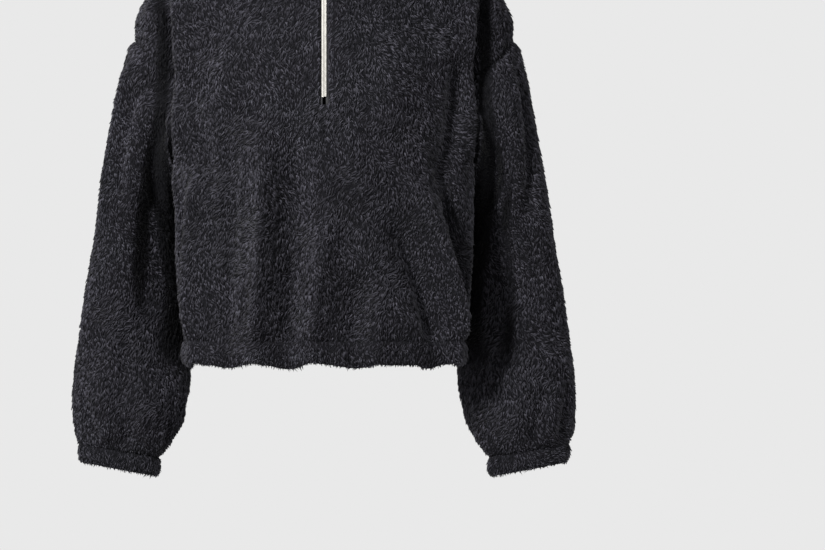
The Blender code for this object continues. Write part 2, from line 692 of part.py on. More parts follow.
def main():
    """Clear the scene and make every piece."""
    for thing in list(bpy.data.objects):
        bpy.data.objects.remove(thing, do_unlink=True)
    pile = material("charcoal_teddy_fleece", (0.020, 0.020, 0.024), 0.95)
    band_cloth = material("charcoal_fleece_band", (0.018, 0.018, 0.021), 0.95)
    tape_cloth = material("charcoal_zip_tape", (0.015, 0.015, 0.018), 0.80)
    teeth = material("white_polyester_coil", (0.72, 0.69, 0.64), 0.45)
    metal = material("satin_nickel", (0.55, 0.54, 0.52), 0.32, 1.0)

    front = panel_grid(front=True)
    back = panel_grid(front=False)
    front_out = grid_normals(front)
    back_out = grid_normals(back)
    join_normals(front_out, back_out)

    # Collar, raised from the neckline: left half of the front, back, right half of the front
    middle = FRONT_COLUMNS
    neck = np.concatenate([front[-1, middle + 1:-1], back[-1], front[-1, 1:middle + 1]])
    neck_out = np.concatenate([front_out[-1, middle + 1:-1], back_out[-1], front_out[-1, 1:middle + 1]])
    turn = np.degrees(np.abs(np.arctan2(neck[:, 0], -(neck[:, 1] - NECK_MIDDLE_Y))))
    angle = np.arctan2(neck[:, 0], -(neck[:, 1] - NECK_MIDDLE_Y))
    top_edge = np.stack([
        COLLAR_TOP_HALF_WIDTH * np.sin(angle),
        NECK_MIDDLE_Y - COLLAR_TOP_HALF_DEPTH * np.cos(angle),
        smooth(turn, COLLAR_TOP["turn"], COLLAR_TOP["z"])], axis=1)
    top_edge[0, 0] = SLIT_HALF_WIDTH
    top_edge[-1, 0] = -SLIT_HALF_WIDTH
    share = np.linspace(0, 1, COLLAR_ROWS + 1)[:, None, None]
    collar = neck[None] * (1 - share) + top_edge[None] * share
    collar_out = grid_normals(collar)
    mitre = unit(collar_out[0] + neck_out)
    collar_out[0] = mitre
    count = FRONT_COLUMNS
    front_out[-1, middle + 1:-1] = mitre[:count]
    front_out[-1, 1:middle + 1] = mitre[-count:]
    back_out[-1] = mitre[count:-count]
    front_out[-1, -1] = back_out[-1, 0]
    front_out[-1, 0] = back_out[-1, -1]
    raised = collar.copy()
    raised[0] += unit(collar[1] - collar[0]) * SEAM_GAP
    wall("collar", raised, raised - collar_out * WALL, band_cloth)

    # Sleeves and cuffs, from the panels' own armholes
    for side, folds in ((1, LEFT_SLEEVE_FOLDS), (-1, RIGHT_SLEEVE_FOLDS)):
        word = "left" if side > 0 else "right"
        loop = arm_ring(front, back, side)
        rim = unit(arm_ring(front_out, back_out, side))
        ring_turn = np.linspace(0, 2 * math.pi, 2 * ARM_ROWS, endpoint=False)
        turns, alongs = np.meshgrid(ring_turn, sleeve_rows())
        points = sleeve_surface(loop, turns, alongs, side, folds)
        out = side * grid_normals(points, wrap=True)
        rim = unit(rim + out[0])
        store_rim(front_out, back_out, side, rim)
        out[0] = rim
        tangent = np.roll(loop, -1, axis=0) - np.roll(loop, 1, axis=0)
        away = side * unit(np.cross(rim, tangent))
        last = points[-1]
        spread = last - last.mean(axis=0)
        down = np.array(CUFF_DOWN) * np.array([side, 1, 1])
        radial = unit(spread - (spread @ down)[:, None] * down)
        out[-1] = radial
        points[0] += away * SEAM_GAP
        wall("sleeve_" + word, points, points - out * WALL, pile, wrap=True)
        band("cuff_" + word, last, radial, down, CUFF_PROFILE, band_cloth)

    # Panels: the front is slit above the zip's end
    seam = np.array([0, SEAM_GAP / 2, 0])
    front_cut = front.copy()
    front_cut[:, 0] -= seam
    front_cut[:, -1] -= seam
    back_cut = back.copy()
    back_cut[:, 0] += seam
    back_cut[:, -1] += seam
    cells = np.ones((front.shape[0] - 1, front.shape[1] - 1), bool)
    cells[slit_row():, middle] = False
    wall("front", front_cut, front_cut - front_out * WALL, pile, cells=cells)
    wall("back", back_cut, back_cut - back_out * WALL, pile)

    # Hem casing round the bottom of both panels
    base = np.concatenate([front[0, :-1], back[0, :-1]])
    base_out = np.concatenate([front_out[0, :-1], back_out[0, :-1]])
    band("hem_casing", base, base_out, np.array([0, 0, -1.0]), HEM_PROFILE, band_cloth)

    # Zip, on the edges of the slit and of the collar
    first = slit_row() - 1
    tapes = {}
    for side in (1, -1):
        column = middle + 1 if side > 0 else middle
        beside = column + side
        ends = (0, 1) if side > 0 else (-1, -2)
        face = np.concatenate([front[first:-1, [column, beside]], collar[:, ends]])
        out = np.concatenate([front_out[first:-1, [column, beside]], collar_out[:, ends]])
        tapes[side] = (face, out)
    path = (tapes[1][0][:, 0] + tapes[-1][0][:, 0]) / 2
    normal = tapes[1][1][:, 0] + tapes[-1][1][:, 0]
    normal[:, 0] = 0
    make_zip_pieces(path, unit(normal), tapes, metal, tape_cloth, teeth)


def store_rim(front_out, back_out, side, rim):
    """Give the panels' armhole edges the same rim as the sleeve's first ring."""
    low = SIDE_ROWS
    top = SIDE_ROWS + ARM_ROWS
    front_column, back_column = (-1, 0) if side > 0 else (0, -1)
    down = rim[:ARM_ROWS + 1]
    up = np.concatenate([rim[ARM_ROWS:], rim[:1]])
    front_out[low:top + 1, front_column] = down[::-1]
    back_out[low:top + 1, back_column] = up


main()
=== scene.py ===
"""Looks of a cropped half-zip teddy fleece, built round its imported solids.

Tables are in millimetres and repeat the cut and the folds of the solids, which are
deeper here and have finer creases between them.  Each panel is a thin shell on the same
formula as its solid, and its pile is a coat of small spiked locks rooted on that shell.
"""
import math

import bmesh
import bpy
import numpy as np
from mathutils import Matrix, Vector


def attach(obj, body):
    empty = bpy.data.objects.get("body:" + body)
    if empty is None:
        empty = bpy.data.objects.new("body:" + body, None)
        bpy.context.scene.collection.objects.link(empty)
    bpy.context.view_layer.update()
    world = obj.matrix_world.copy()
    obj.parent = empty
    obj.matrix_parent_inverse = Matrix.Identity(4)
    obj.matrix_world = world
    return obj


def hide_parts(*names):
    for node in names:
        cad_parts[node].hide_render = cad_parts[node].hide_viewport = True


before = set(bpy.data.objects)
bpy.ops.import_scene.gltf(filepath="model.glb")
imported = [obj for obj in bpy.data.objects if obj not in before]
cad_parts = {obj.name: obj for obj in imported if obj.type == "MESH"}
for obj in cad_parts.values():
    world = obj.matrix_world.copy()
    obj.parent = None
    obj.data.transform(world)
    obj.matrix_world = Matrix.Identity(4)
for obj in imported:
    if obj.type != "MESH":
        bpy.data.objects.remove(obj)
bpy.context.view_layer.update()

MM = 0.001
BODY = "garment"
DOWN = np.array([0, 0, -1.0])

# Cut of the garment, as in the solids but for a few millimetres along the armhole
WALL = 5.0
PILE = 2.2              # the cloth's own face lies this far under the tips
SEAM_GAP = 0.3
BODY_LENGTH = 520.0
HEM_HEIGHT = 27.0
NECK_HALF_WIDTH = 75.0
NECK_HALF_DEPTH = 70.0
NECK_MIDDLE_Y = -8.0
NECK_SEARCH_Z = (-110.0, 6.0)
NECK_SEARCH_STEPS = 40
ZIP_LOW_Z = -213.0
SLIT_HALF_WIDTH = 5.0
SLIT_LOW_Z = -222.0
CUFF_HEIGHT = 21.0

# Armhole of the dropped shoulder, seen from the front
ARM_TOP_X = 219.0
ARM_TOP_Z = -144.0
ARM_LOW_X = 170.0
ARM_LOW_Z = -290.0
ARM_LOW_Y = -10.0
ARM_MIDDLE_Z = (ARM_TOP_Z + ARM_LOW_Z) / 2
ARM_HALF_HEIGHT = (ARM_TOP_Z - ARM_LOW_Z) / 2
ARM_FRONT_CUT = 0.24    # share of a row that the armhole takes at its widest
ARM_BACK_CUT = 0.25

# Grid of the shells, finer than that of the solids; its rows run from the hem up
FRONT_COLUMNS = 60
BACK_COLUMNS = 84
SIDE_ROWS = 34
ARM_ROWS = 44
SHOULDER_ROWS = 22
SLIT_ROWS = 32
SLIT_SHARE = 0.018
SLEEVE_ROWS = 100
ARM_LOW_ROW = SIDE_ROWS
ARM_TOP_ROW = SIDE_ROWS + ARM_ROWS
PANEL_ROWS = SIDE_ROWS + ARM_ROWS + SHOULDER_ROWS
SLIT_ROW = PANEL_ROWS - SLIT_ROWS
SEAM_COLUMNS = {1: (-1, 0), -1: (0, -1)}    # of the front and of the back, by side

HEM_SEAM_Z = -BODY_LENGTH + HEM_HEIGHT
FRONT_HALF_GIRTH = 227.0
BACK_HALF_GIRTH = 222.0


def columns(names, rows):
    """Turn the rows of a table into named columns."""
    return dict(zip(names.split(), np.array(rows, float).T))


# Level sections: how far the centre stands out, and the two pulls and the lean
# of the curve that runs from the centre to the seam at the side
FRONT = columns("z depth start_pull end_pull lean", [
    (6, 30, 38, 18, 0),
    (0, 38, 46, 22, 0),
    (-20, 56, 78, 33, 0),
    (-40, 66, 108, 40, 0),
    (-70, 79, 122, 48, 0.02),
    (-100, 95, 128, 55, 0.05),
    (-125, 106, 128, 56, 0.10),
    (-144, 113, 126, 57, 0.14),
    (-165, 118, 124, 58, 0.16),
    (-185, 121, 122, 59, 0.14),
    (-217, 125, 118, 60, 0.06),
    (-250, 126, 116, 61, -0.04),
    (-290, 126, 112, 62, -0.12),
    (-310, 126, 110, 64, -0.08),
    (-340, 125, 110, 66, -0.02),
    (-376, 124, 110, 66, 0),
    (-430, 121, 110, 64, 0),
    (-520, 117, 106, 62, 0),
])
BACK = columns("z depth start_pull end_pull lean", [
    (6, 42, 40, 20, 0),
    (0, 50, 48, 25, 0),
    (-20, 63, 78, 36, 0),
    (-45, 82, 108, 46, 0),
    (-80, 101, 120, 54, 0),
    (-120, 114, 122, 60, 0.05),
    (-144, 118, 120, 62, 0.08),
    (-165, 121, 116, 63, 0.10),
    (-185, 123, 113, 64, 0.10),
    (-217, 124, 110, 65, 0.08),
    (-250, 123, 108, 66, 0.06),
    (-290, 121, 104, 66, 0.10),
    (-310, 120, 98, 70, 0.06),
    (-340, 118, 96, 74, 0),
    (-376, 117, 94, 74, 0),
    (-430, 114, 94, 74, 0),
    (-520, 111, 96, 70, 0),
])

# Outline from the front: shoulder seam, the line that the armhole is cut back from,
# and side seam
EDGE = columns("z x y", [
    (6, 62, 0),
    (0, 75, 0),
    (-12, 104, 0),
    (-38, 165, 0),
    (-65, 190, 0),
    (-99, 208, 0),
    (-127, 219, 0),
    (ARM_TOP_Z, ARM_TOP_X, 0),
    (-165, 214, -1),
    (-185, 205, -2),
    (-217, 197, -5),
    (-250, 186, -8),
    (-272, 177, -9.5),
    (ARM_LOW_Z, ARM_LOW_X, ARM_LOW_Y),
    (-302, 171, -13),
    (-320, 171.5, -15),
    (-376, 171.5, -15),
    (-431, 169, -15),
    (-462, 166.5, -15),
    (-480, 162.5, -15),
    (-520, 161.5, -15),
])

# Folds: round is measured from the centre line round the panel, plus to the
# wearer's left; a plus height is a ridge, a minus height a trough
FOLD_COLUMNS = "round_top z_top round_low z_low half_width height bow"
FRONT_FOLDS = columns(FOLD_COLUMNS, [
    (-60, -225, -79, -540, 11.5, 10.5, 7),
    (-98, -215, -116, -530, 12, -6, 6),
    (-28, -205, -42, -530, 15, -8.5, 3),
    (3, -330, -20, -540, 13, 10, 2),
    (30, -400, 36, -540, 15, -7, 0),
    (76, -270, 178, -520, 13, 11, 6),
    (62, -330, 148, -530, 14, -9, 4),
    (136, -290, 196, -480, 13, -9.5, 3),
    (134, -150, 142, -320, 16, -9, 0),
    (199, -240, 198, -500, 12, 1.5, 0),
    (-199, -250, -197, -470, 12, 3.5, 2),
    (-132, -260, -172, -520, 14, 8, -5),
    (-150, -160, -128, -330, 16, -6, 4),
    (-190, -300, -196, -500, 13, -5.5, 3),
    (52, -120, 66, -260, 18, 3.5, 3),
    # Finer creases, in the shells alone
    (98, -120, 118, -230, 9, 2, 3),
    (160, -100, 176, -150, 6, -2, 0),
    (112, -250, 150, -360, 8, -2.2, -3),
    (20, -240, 48, -330, 11, 1.8, -4),
    (120, -380, 168, -500, 7, 2.4, 4),
    (100, -420, 128, -520, 7, -2, 0),
    (-30, -380, -40, -520, 8, -2.2, 0),
    (-118, -330, -124, -500, 9, -2.4, -3),
    (-70, -120, -96, -230, 12, 2, -4),
    (-160, -110, -176, -160, 6, -2, 0),
    (-150, -380, -160, -520, 8, 2.2, 2),
    (52, -430, 60, -530, 7, 2, 0),
])
BACK_FOLDS = columns(FOLD_COLUMNS, [
    (-18, -210, -34, -540, 15, 6.5, 6),
    (28, -260, 40, -540, 18, -6, -4),
    (70, -230, 96, -530, 14, 7.5, -6),
    (-84, -250, -104, -540, 15, 7.5, 5),
    (-56, -240, -68, -520, 16, -5.5, 3),
    (124, -200, 140, -420, 15, -6, 3),
    (-140, -190, -150, -440, 15, -6, -4),
    (168, -280, 176, -500, 13, 3.5, 0),
    (-170, -300, -180, -510, 13, 3.5, 0),
    # Finer creases, in the shells alone
    (-110, -120, -124, -260, 10, 2, 3),
    (110, -110, 130, -240, 10, 2.2, -3),
    (4, -330, -6, -520, 9, 2.2, 3),
    (58, -360, 66, -520, 8, -2, 0),
    (-104, -400, -116, -530, 8, -2.2, 0),
    (118, -380, 128, -520, 8, 2, 2),
    (-30, -90, -46, -180, 12, 1.6, 0),
])

# Crease in front of each arm: trough and the ridge beside it, placed by x
ARM_CREASE = columns("z trough_x trough_depth ridge_x ridge_height", [
    (-50, 198, 0, 182, 0),
    (-75, 193, 10, 177, 3),
    (-99, 188, 20, 171, 6),
    (-125, 185, 28, 168, 9),
    (-144, 184, 31, 167, 9),
    (-165, 184, 31, 167, 8),
    (-185, 184, 30, 167, 8),
    (-205, 185, 28, 168, 7),
    (-225, 186, 22, 169, 6),
    (-245, 187, 12, 170, 4),
    (-265, 188, 0, 170, 3),
    (-300, 186, 0, 168, 0),
])
TROUGH_HALF_WIDTH = 8.5
RIDGE_HALF_WIDTH = 12.0
FOLD_GAIN = 1.9         # the cloth's own folds are deeper than those of the solid wall
ROW_START = 0.78        # how fast a row's columns leave the centre and reach the seam
ROW_END = 1.1


def smooth(at, knots, values):
    """Cubic through a table's values that never swings past them; knots fall or rise."""
    order = np.argsort(knots)
    knots = np.asarray(knots, float)[order]
    values = np.asarray(values, float)[order]
    gaps = np.diff(knots)
    slopes = np.diff(values) / gaps
    tangents = np.zeros_like(values)
    tangents[0] = slopes[0]
    tangents[-1] = slopes[-1]
    same = slopes[:-1] * slopes[1:] > 0
    total = np.where(same, slopes[:-1] + slopes[1:], 1.0)
    tangents[1:-1] = np.where(same, 2 * slopes[:-1] * slopes[1:] / total, 0.0)
    at = np.clip(at, knots[0], knots[-1])
    cell = np.clip(np.searchsorted(knots, at, side="right") - 1, 0, len(gaps) - 1)
    gap = gaps[cell]
    t = (at - knots[cell]) / gap
    rise = values[cell] * (2 * t**3 - 3 * t**2 + 1) + values[cell + 1] * (3 * t**2 - 2 * t**3)
    bend = tangents[cell] * (t**3 - 2 * t**2 + t) + tangents[cell + 1] * (t**3 - t**2)
    return rise + bend * gap


def look_up(table, at):
    """A table's other columns, in order, where its first one has the given values."""
    knots, *others = table.values()
    return [smooth(at, knots, values) for values in others]


def ease(t):
    """0 to 1 with level ends."""
    t = np.clip(t, 0, 1)
    return t * t * (3 - 2 * t)


def unit(vectors):
    """Vectors made one long."""
    return vectors / np.maximum(np.linalg.norm(vectors, axis=-1, keepdims=True), 1e-9)


def arm_oval(height):
    """1 at the armhole's middle height, 0 at its top and its lowest point."""
    return np.sqrt(1 - np.clip((height - ARM_MIDDLE_Z) / ARM_HALF_HEIGHT, -1, 1) ** 2)


def row_reach(height, front):
    """Share of the row at a height that the armhole leaves: an oval cut from both panels."""
    return 1 - (ARM_FRONT_CUT if front else ARM_BACK_CUT) * arm_oval(height)


def fold_height(folds, around, height):
    """Sum of the folds: each is a soft bell across a bowed line, and fades at its ends."""
    total = np.zeros(np.broadcast(around, height).shape)
    for round_top, top, round_low, low, half_width, lift, bow in zip(*folds.values()):
        along = (top - height) / (top - low)
        line = round_top + (round_low - round_top) * along
        line = line + bow * np.sin(math.pi * np.clip(along, 0, 1))
        bell = lift * np.exp(-((around - line) / half_width) ** 2)
        total = total + bell * ease(along / 0.3) * ease((1 - along) / 0.12)
    return total


def arm_crease(x, height):
    """Lift of the crease in front of the arm, where the hanging sleeve folds the chest in."""
    trough_x, depth, ridge_x, rise = look_up(ARM_CREASE, height)
    trough = -depth * np.exp(-((x - trough_x) / TROUGH_HALF_WIDTH) ** 2)
    return trough + rise * np.exp(-((x - ridge_x) / RIDGE_HALF_WIDTH) ** 2)


def body_surface(share, height, front, folded=True):
    """Outer skin of a panel.

    share runs from -1 at the wearer's right seam to 1 at the left one.  A row is one
    cubic from the centre to its seam; the folds move it along its own normal.  At the
    armhole the outer columns close up by the cube of their share.
    """
    depth, start_pull, end_pull, lean = look_up(FRONT if front else BACK, height)
    edge_x, edge_y = look_up(EDGE, height)
    face = -1.0 if front else 1.0
    s = np.abs(share) - (1 - row_reach(height, front)) * np.abs(share) ** 3
    t = ROW_START * (s - 2 * s**2 + s**3) + (3 * s**2 - 2 * s**3) + ROW_END * (s**3 - s**2)
    length = np.sqrt(1 + lean**2)
    pull_x = edge_x - end_pull * lean / length
    pull_y = edge_y + face * end_pull / length
    b1 = 3 * t * (1 - t)**2
    b2 = 3 * t**2 * (1 - t)
    x = b1 * start_pull + b2 * pull_x + t**3 * edge_x
    y = ((1 - t)**3 + b1) * face * depth + b2 * pull_y + t**3 * edge_y
    dx = 3 * ((1 - t)**2 * start_pull + 2 * t * (1 - t) * (pull_x - start_pull)
              + t**2 * (edge_x - pull_x))
    dy = 3 * (2 * t * (1 - t) * (pull_y - face * depth) + t**2 * (edge_y - pull_y))
    size = np.sqrt(dx**2 + dy**2)
    if folded:
        girth = FRONT_HALF_GIRTH if front else BACK_HALF_GIRTH
        folds = FRONT_FOLDS if front else BACK_FOLDS
        inside = ease((1 - np.abs(share)) / 0.08)
        lift = FOLD_GAIN * inside * fold_height(folds, np.sign(share) * s * girth, height)
        if front:
            lift = lift + np.maximum(inside, arm_oval(height)) * arm_crease(x, height)
        lift = lift * ease((height - HEM_SEAM_Z + 14) / 30)
        x = x - face * dy / size * lift
        y = y + face * dx / size * lift
    return np.stack([np.where(share < 0, -x, x), y, height + 0 * x], axis=-1)


# Sleeve, seen from the front: its outer and inner line, the middle of its depth, half
# its depth, and how far in degrees its section leans, so that its inner side faces the
# body; along is measured down the outer line from the shoulder
SLEEVE = columns("along outer_x outer_z inner_x inner_z middle_y half_depth lean", [
    (0, 219, -144, 165, -290, -5, 44, 0),
    (10, 225, -152, 167, -297, 2, 56, 2),
    (31, 231, -172, 168, -305, 9, 61, 8),
    (70, 238.5, -210, 168, -318, 22, 64, 18),
    (126, 248.5, -265, 166, -340, 38, 64, 26),
    (182, 258.8, -320, 162, -374, 52, 62, 28),
    (238, 266.8, -375, 157, -412, 60, 60, 28),
    (294, 276.5, -430, 155, -452, 65, 59, 26),
    (349, 284.5, -485, 154.5, -499, 66, 58, 22),
    (394, 290.5, -530, 155.5, -540, 64, 58, 16),
    (432, 292.5, -568, 161.5, -574, 60, 56, 8),
    (456, 291, -592, 169.5, -596, 57, 51, 3),
    (468, 288, -604, 178, -611, 54, 43, 0),
    (478, 285.5, -613, 190, -628.5, 52, 33, 0),
])
SLEEVE_LENGTH = 478.0   # the table's last row

# Band of painted shade along the crease where each sleeve meets the side: by height, its inner and its
# outer x, and how strongly it is painted dark
PAINTED_CREASE_SHADE = columns("z from_x to_x dark", [
    (-85, 184, 192, 0),
    (-110, 180, 191, 1),
    (-212, 178, 192, 1),
    (-245, 180, 197, 1),
    (-310, 177, 197, 1),
    (-380, 175, 191, 1),
    (-440, 174, 182, 1),
    (-490, 174, 180, 1),
    (-535, 172, 174, 0),
])
HEAD_EASE = 45.0        # where the head leaves the armhole's own line
CUFF_DOWN = np.array([-0.03, -0.05, -1.0]) / 1.0017

# Sleeve folds by turn in degrees, from the shoulder round by the front
SLEEVE_FOLD_COLUMNS = "turn_top along_top turn_low along_low half_width height"
LEFT_SLEEVE_FOLDS = columns(SLEEVE_FOLD_COLUMNS, [
    (62, -10, 116, 215, 13, 7),
    (24, 0, 98, 215, 12, -9),
    (90, 170, 86, 330, 12, -4),
    (132, 130, 124, 380, 18, -6),
    (88, -45, 152, 170, 12, -12),
    (112, 300, 96, 500, 13, 5),
    (78, 400, 84, 520, 10, -6),
    (60, 390, 62, 520, 10, 5),
    (44, 395, 44, 520, 9, -4.5),
    (238, 70, 222, 330, 18, 5.5),
    (276, -20, 300, 230, 15, -6),
    (318, 20, 322, 300, 16, 4.5),
    (262, 330, 250, 520, 15, -5.5),
])
RIGHT_SLEEVE_FOLDS = columns(SLEEVE_FOLD_COLUMNS, [
    (36, -20, 60, 240, 13, 6),
    (60, -10, 84, 200, 12, -6),
    (106, 90, 98, 300, 17, 5),
    (136, 110, 126, 350, 16, -6),
    (90, -45, 150, 175, 12, -11),
    (104, 320, 90, 520, 13, -5),
    (70, 380, 70, 520, 11, 5.5),
    (50, 410, 54, 520, 9, -5),
    (232, 60, 228, 360, 18, 5.5),
    (270, -10, 290, 260, 15, -5.5),
    (322, 30, 316, 280, 16, 4.5),
    (256, 300, 262, 520, 14, -5.5),
])

# Rounded sections of the two bands: out from the cloth's outer face, and down
HEM_PROFILE = columns("out down", [
    (0, 0), (2.4, 6), (2.8, 17), (1.2, 24),
    (-3, HEM_HEIGHT), (-7, 23.5), (-7, 6), (-WALL, 0),
])
CUFF_PROFILE = columns("out down", [
    (0, 0), (1.2, 4.5), (0.8, 12), (-0.8, 18),
    (-3, CUFF_HEIGHT), (-6.4, 18), (-6.6, 5), (-WALL, 0),
])
BAND_POINTS = 28        # round a band's section
BAND_FACE_POINTS = 20   # the first of them carry locks, where they lie further out
BAND_FACE_OUT = -4.5    # than this


def grid_normals(points, wrap=False):
    """Outward normals of a grid whose columns run round and whose rows run on."""
    if wrap:
        along = np.roll(points, -1, axis=1) - np.roll(points, 1, axis=1)
    else:
        along = np.gradient(points, axis=1)
    return unit(np.cross(along, np.gradient(points, axis=0)))


def neckline_height(share, front):
    """Height at which each column of a panel meets the upright ellipse of the neck."""
    low, high = (np.full_like(share, z) for z in NECK_SEARCH_Z)
    for _ in range(NECK_SEARCH_STEPS):
        middle = (low + high) / 2
        point = body_surface(share, middle, front, folded=False)
        radius = (point[..., 0] / NECK_HALF_WIDTH) ** 2
        radius = radius + ((point[..., 1] - NECK_MIDDLE_Y) / NECK_HALF_DEPTH) ** 2
        outside = radius > 1
        low = np.where(outside, middle, low)
        high = np.where(outside, high, middle)
    return (low + high) / 2


def edge_heights(top):
    """Heights of the rows on the side seam, the armhole and the shoulder seam."""
    side = np.linspace(HEM_SEAM_Z, ARM_LOW_Z, SIDE_ROWS + 1)
    arm = ARM_MIDDLE_Z - ARM_HALF_HEIGHT * np.cos(np.linspace(0, math.pi, ARM_ROWS + 1))
    shoulder = np.linspace(ARM_TOP_Z, top, SHOULDER_ROWS + 1)
    return np.concatenate([side, arm[1:], shoulder[1:]])


def panel_grid(front):
    """Outer points of a panel: rows from the hem up, columns round the body."""
    if front:
        half = np.linspace(SLIT_SHARE, 1, FRONT_COLUMNS + 1)
        share = np.concatenate([-half[::-1], half])
    else:
        share = np.linspace(1, -1, BACK_COLUMNS + 1)
    neck = neckline_height(share, front)
    neck_centre, neck_edge = neckline_height(np.array([0.0, 1.0]), front)
    if front:
        centre = np.concatenate([
            np.linspace(HEM_SEAM_Z, SLIT_LOW_Z, SLIT_ROW + 1),
            np.linspace(SLIT_LOW_Z, neck_centre, SLIT_ROWS + 1)[1:]])
    else:
        centre = np.linspace(HEM_SEAM_Z, neck_centre, PANEL_ROWS + 1)
    at_centre = (centre - HEM_SEAM_Z) / (neck_centre - HEM_SEAM_Z)
    at_edge = (edge_heights(neck_edge) - HEM_SEAM_Z) / (neck_edge - HEM_SEAM_Z)
    s = np.abs(share)[None, :]
    fraction = at_centre[:, None] * (1 - s) + at_edge[:, None] * s
    height = HEM_SEAM_Z + fraction * (neck[None, :] - HEM_SEAM_Z)
    points = body_surface(np.broadcast_to(share, height.shape), height, front)
    if front:
        points[:, FRONT_COLUMNS, 0] = -SLIT_HALF_WIDTH
        points[:, FRONT_COLUMNS + 1, 0] = SLIT_HALF_WIDTH
    return points


def join_normals(front, back):
    """Give the two panels the same normal where their seams meet."""
    shared = [i for i in range(front.shape[0]) if i <= ARM_LOW_ROW or i >= ARM_TOP_ROW]
    for front_column, back_column in SEAM_COLUMNS.values():
        both = unit(front[shared, front_column] + back[shared, back_column])
        front[shared, front_column] = both
        back[shared, back_column] = both


def arm_ring(front, back, side):
    """Values round an armhole, from the shoulder down the front and up the back."""
    front_column, back_column = SEAM_COLUMNS[side]
    down = front[ARM_LOW_ROW:ARM_TOP_ROW + 1, front_column][::-1]
    up = back[ARM_LOW_ROW:ARM_TOP_ROW + 1, back_column]
    ring = np.concatenate([down, up[1:-1]])
    ring[0] = (down[0] + up[-1]) / 2
    ring[ARM_ROWS] = (down[-1] + up[0]) / 2
    return ring


def sleeve_surface(loop, turn, along, side, folds):
    """Tube from the armhole's loop to the cuff seam; turn runs round it from the shoulder."""
    outer_x, outer_z, inner_x, inner_z, middle_y, half_depth, lean = look_up(SLEEVE, along)
    across = np.cos(turn - np.radians(lean))
    points = np.stack([
        side * ((outer_x + inner_x) / 2 + (outer_x - inner_x) / 2 * across),
        middle_y - half_depth * np.sin(turn),
        (outer_z + inner_z) / 2 + (outer_z - inner_z) / 2 * across], axis=-1)
    stay = 1 - ease(along / HEAD_EASE)
    points = points + (loop[None, :, :] - points[:1]) * stay[..., None]
    normals = side * grid_normals(points, wrap=True)
    degrees = np.degrees(turn)
    lift = np.zeros(along.shape)
    for turn_top, top, turn_low, low, half_width, height in zip(*folds.values()):
        share = (along - top) / (low - top)
        line = turn_top + (turn_low - turn_top) * share
        away = (degrees - line + 180) % 360 - 180
        bell = height * np.exp(-(away / half_width) ** 2)
        lift = lift + bell * ease(share / 0.25) * ease((1 - share) / 0.25)
    lift = lift * ease(along / 14) * ease((SLEEVE_LENGTH - along) / 16)
    return points + normals * lift[..., None]


# Stand collar: height of its top edge above the zip's top, by turn from the front
COLLAR_TOP = columns("turn z", [(0, 4), (14, 5.5), (42, 20), (90, 47), (140, 51), (180, 47)])
COLLAR_TOP_HALF_WIDTH = 72.0
COLLAR_TOP_HALF_DEPTH = 65.0
COLLAR_ROWS = 14

# Pile: one lock stands for a tuft of fibres
LOCK_LENGTH = 8.0
LOCK_WIDTH = 2.1
LOCK_SINK = 1.3         # its root under the cloth's face
LOCK_ROOT = 0.3         # shares of its length: back to its root, from there to its ridge,
LOCK_RIDGE = 0.22       # and on from its place to its tip
LOCK_TIP = 0.7
LOCK_SPREAD = 0.24      # radians by which neighbours lie unevenly
CLUMP_SIZE = 9.0        # wavelength at which locks stand together
GATHER_SIZE = 6.5       # and at which their tips draw together
# Turn in radians, wavelength, seed and number of waves of the pile's swirls and partings
SWIRLS = ((0.50, 150.0, 11, 8), (0.42, 52.0, 12, 8), (0.36, 12.0, 13, 12))
COAT_LIMIT = 45000      # locks in one piece

# Zip opening: the strip beside the slit is pressed flat and topstitched
STITCH_FROM_MIDDLE = 11.5
STITCH_LOW_Z = -227.0
STITCH_HALF_WIDTH = 1.1

# How deep and how wide each seam draws the cloth in
SEAM_DIP = 1.5
SEAM_HALF_WIDTH = 3.2


def waves(points, size, seed, count=8):
    """Smooth noise, about -1 to 1: plane waves near one wavelength, in mixed directions."""
    source = np.random.default_rng(seed)
    total = 0.0
    for _ in range(count):
        direction = unit(source.normal(size=3)) * 2 * math.pi / size * source.uniform(0.6, 1.6)
        total = total + np.sin(points @ direction + source.uniform(0, 2 * math.pi))
    return total / count ** 0.5 / 1.1


def placed(name, data):
    """Object of the given data, put in the scene."""
    made = bpy.data.objects.new(name, data)
    bpy.context.scene.collection.objects.link(made)
    return made


def mesh_object(name, verts, triangles=None, quads=None):
    """Object from arrays of points in millimetres and of faces."""
    sets = [(faces, size) for faces, size in ((quads, 4), (triangles, 3)) if faces is not None]
    loops = np.concatenate([np.asarray(faces).ravel() for faces, _ in sets])
    totals = np.concatenate([np.full(len(faces), size) for faces, size in sets])
    starts = np.concatenate([[0], np.cumsum(totals)[:-1]])
    mesh = bpy.data.meshes.new(name)
    mesh.vertices.add(len(verts))
    mesh.vertices.foreach_set("co", (np.asarray(verts, float) * MM).astype(np.float32).ravel())
    mesh.loops.add(len(loops))
    mesh.loops.foreach_set("vertex_index", loops.astype(np.int32))
    mesh.polygons.add(len(totals))
    mesh.polygons.foreach_set("loop_start", starts.astype(np.int32))
    mesh.update(calc_edges=True)
    mesh.validate()
    mesh.shade_smooth()
    return placed(name, mesh)


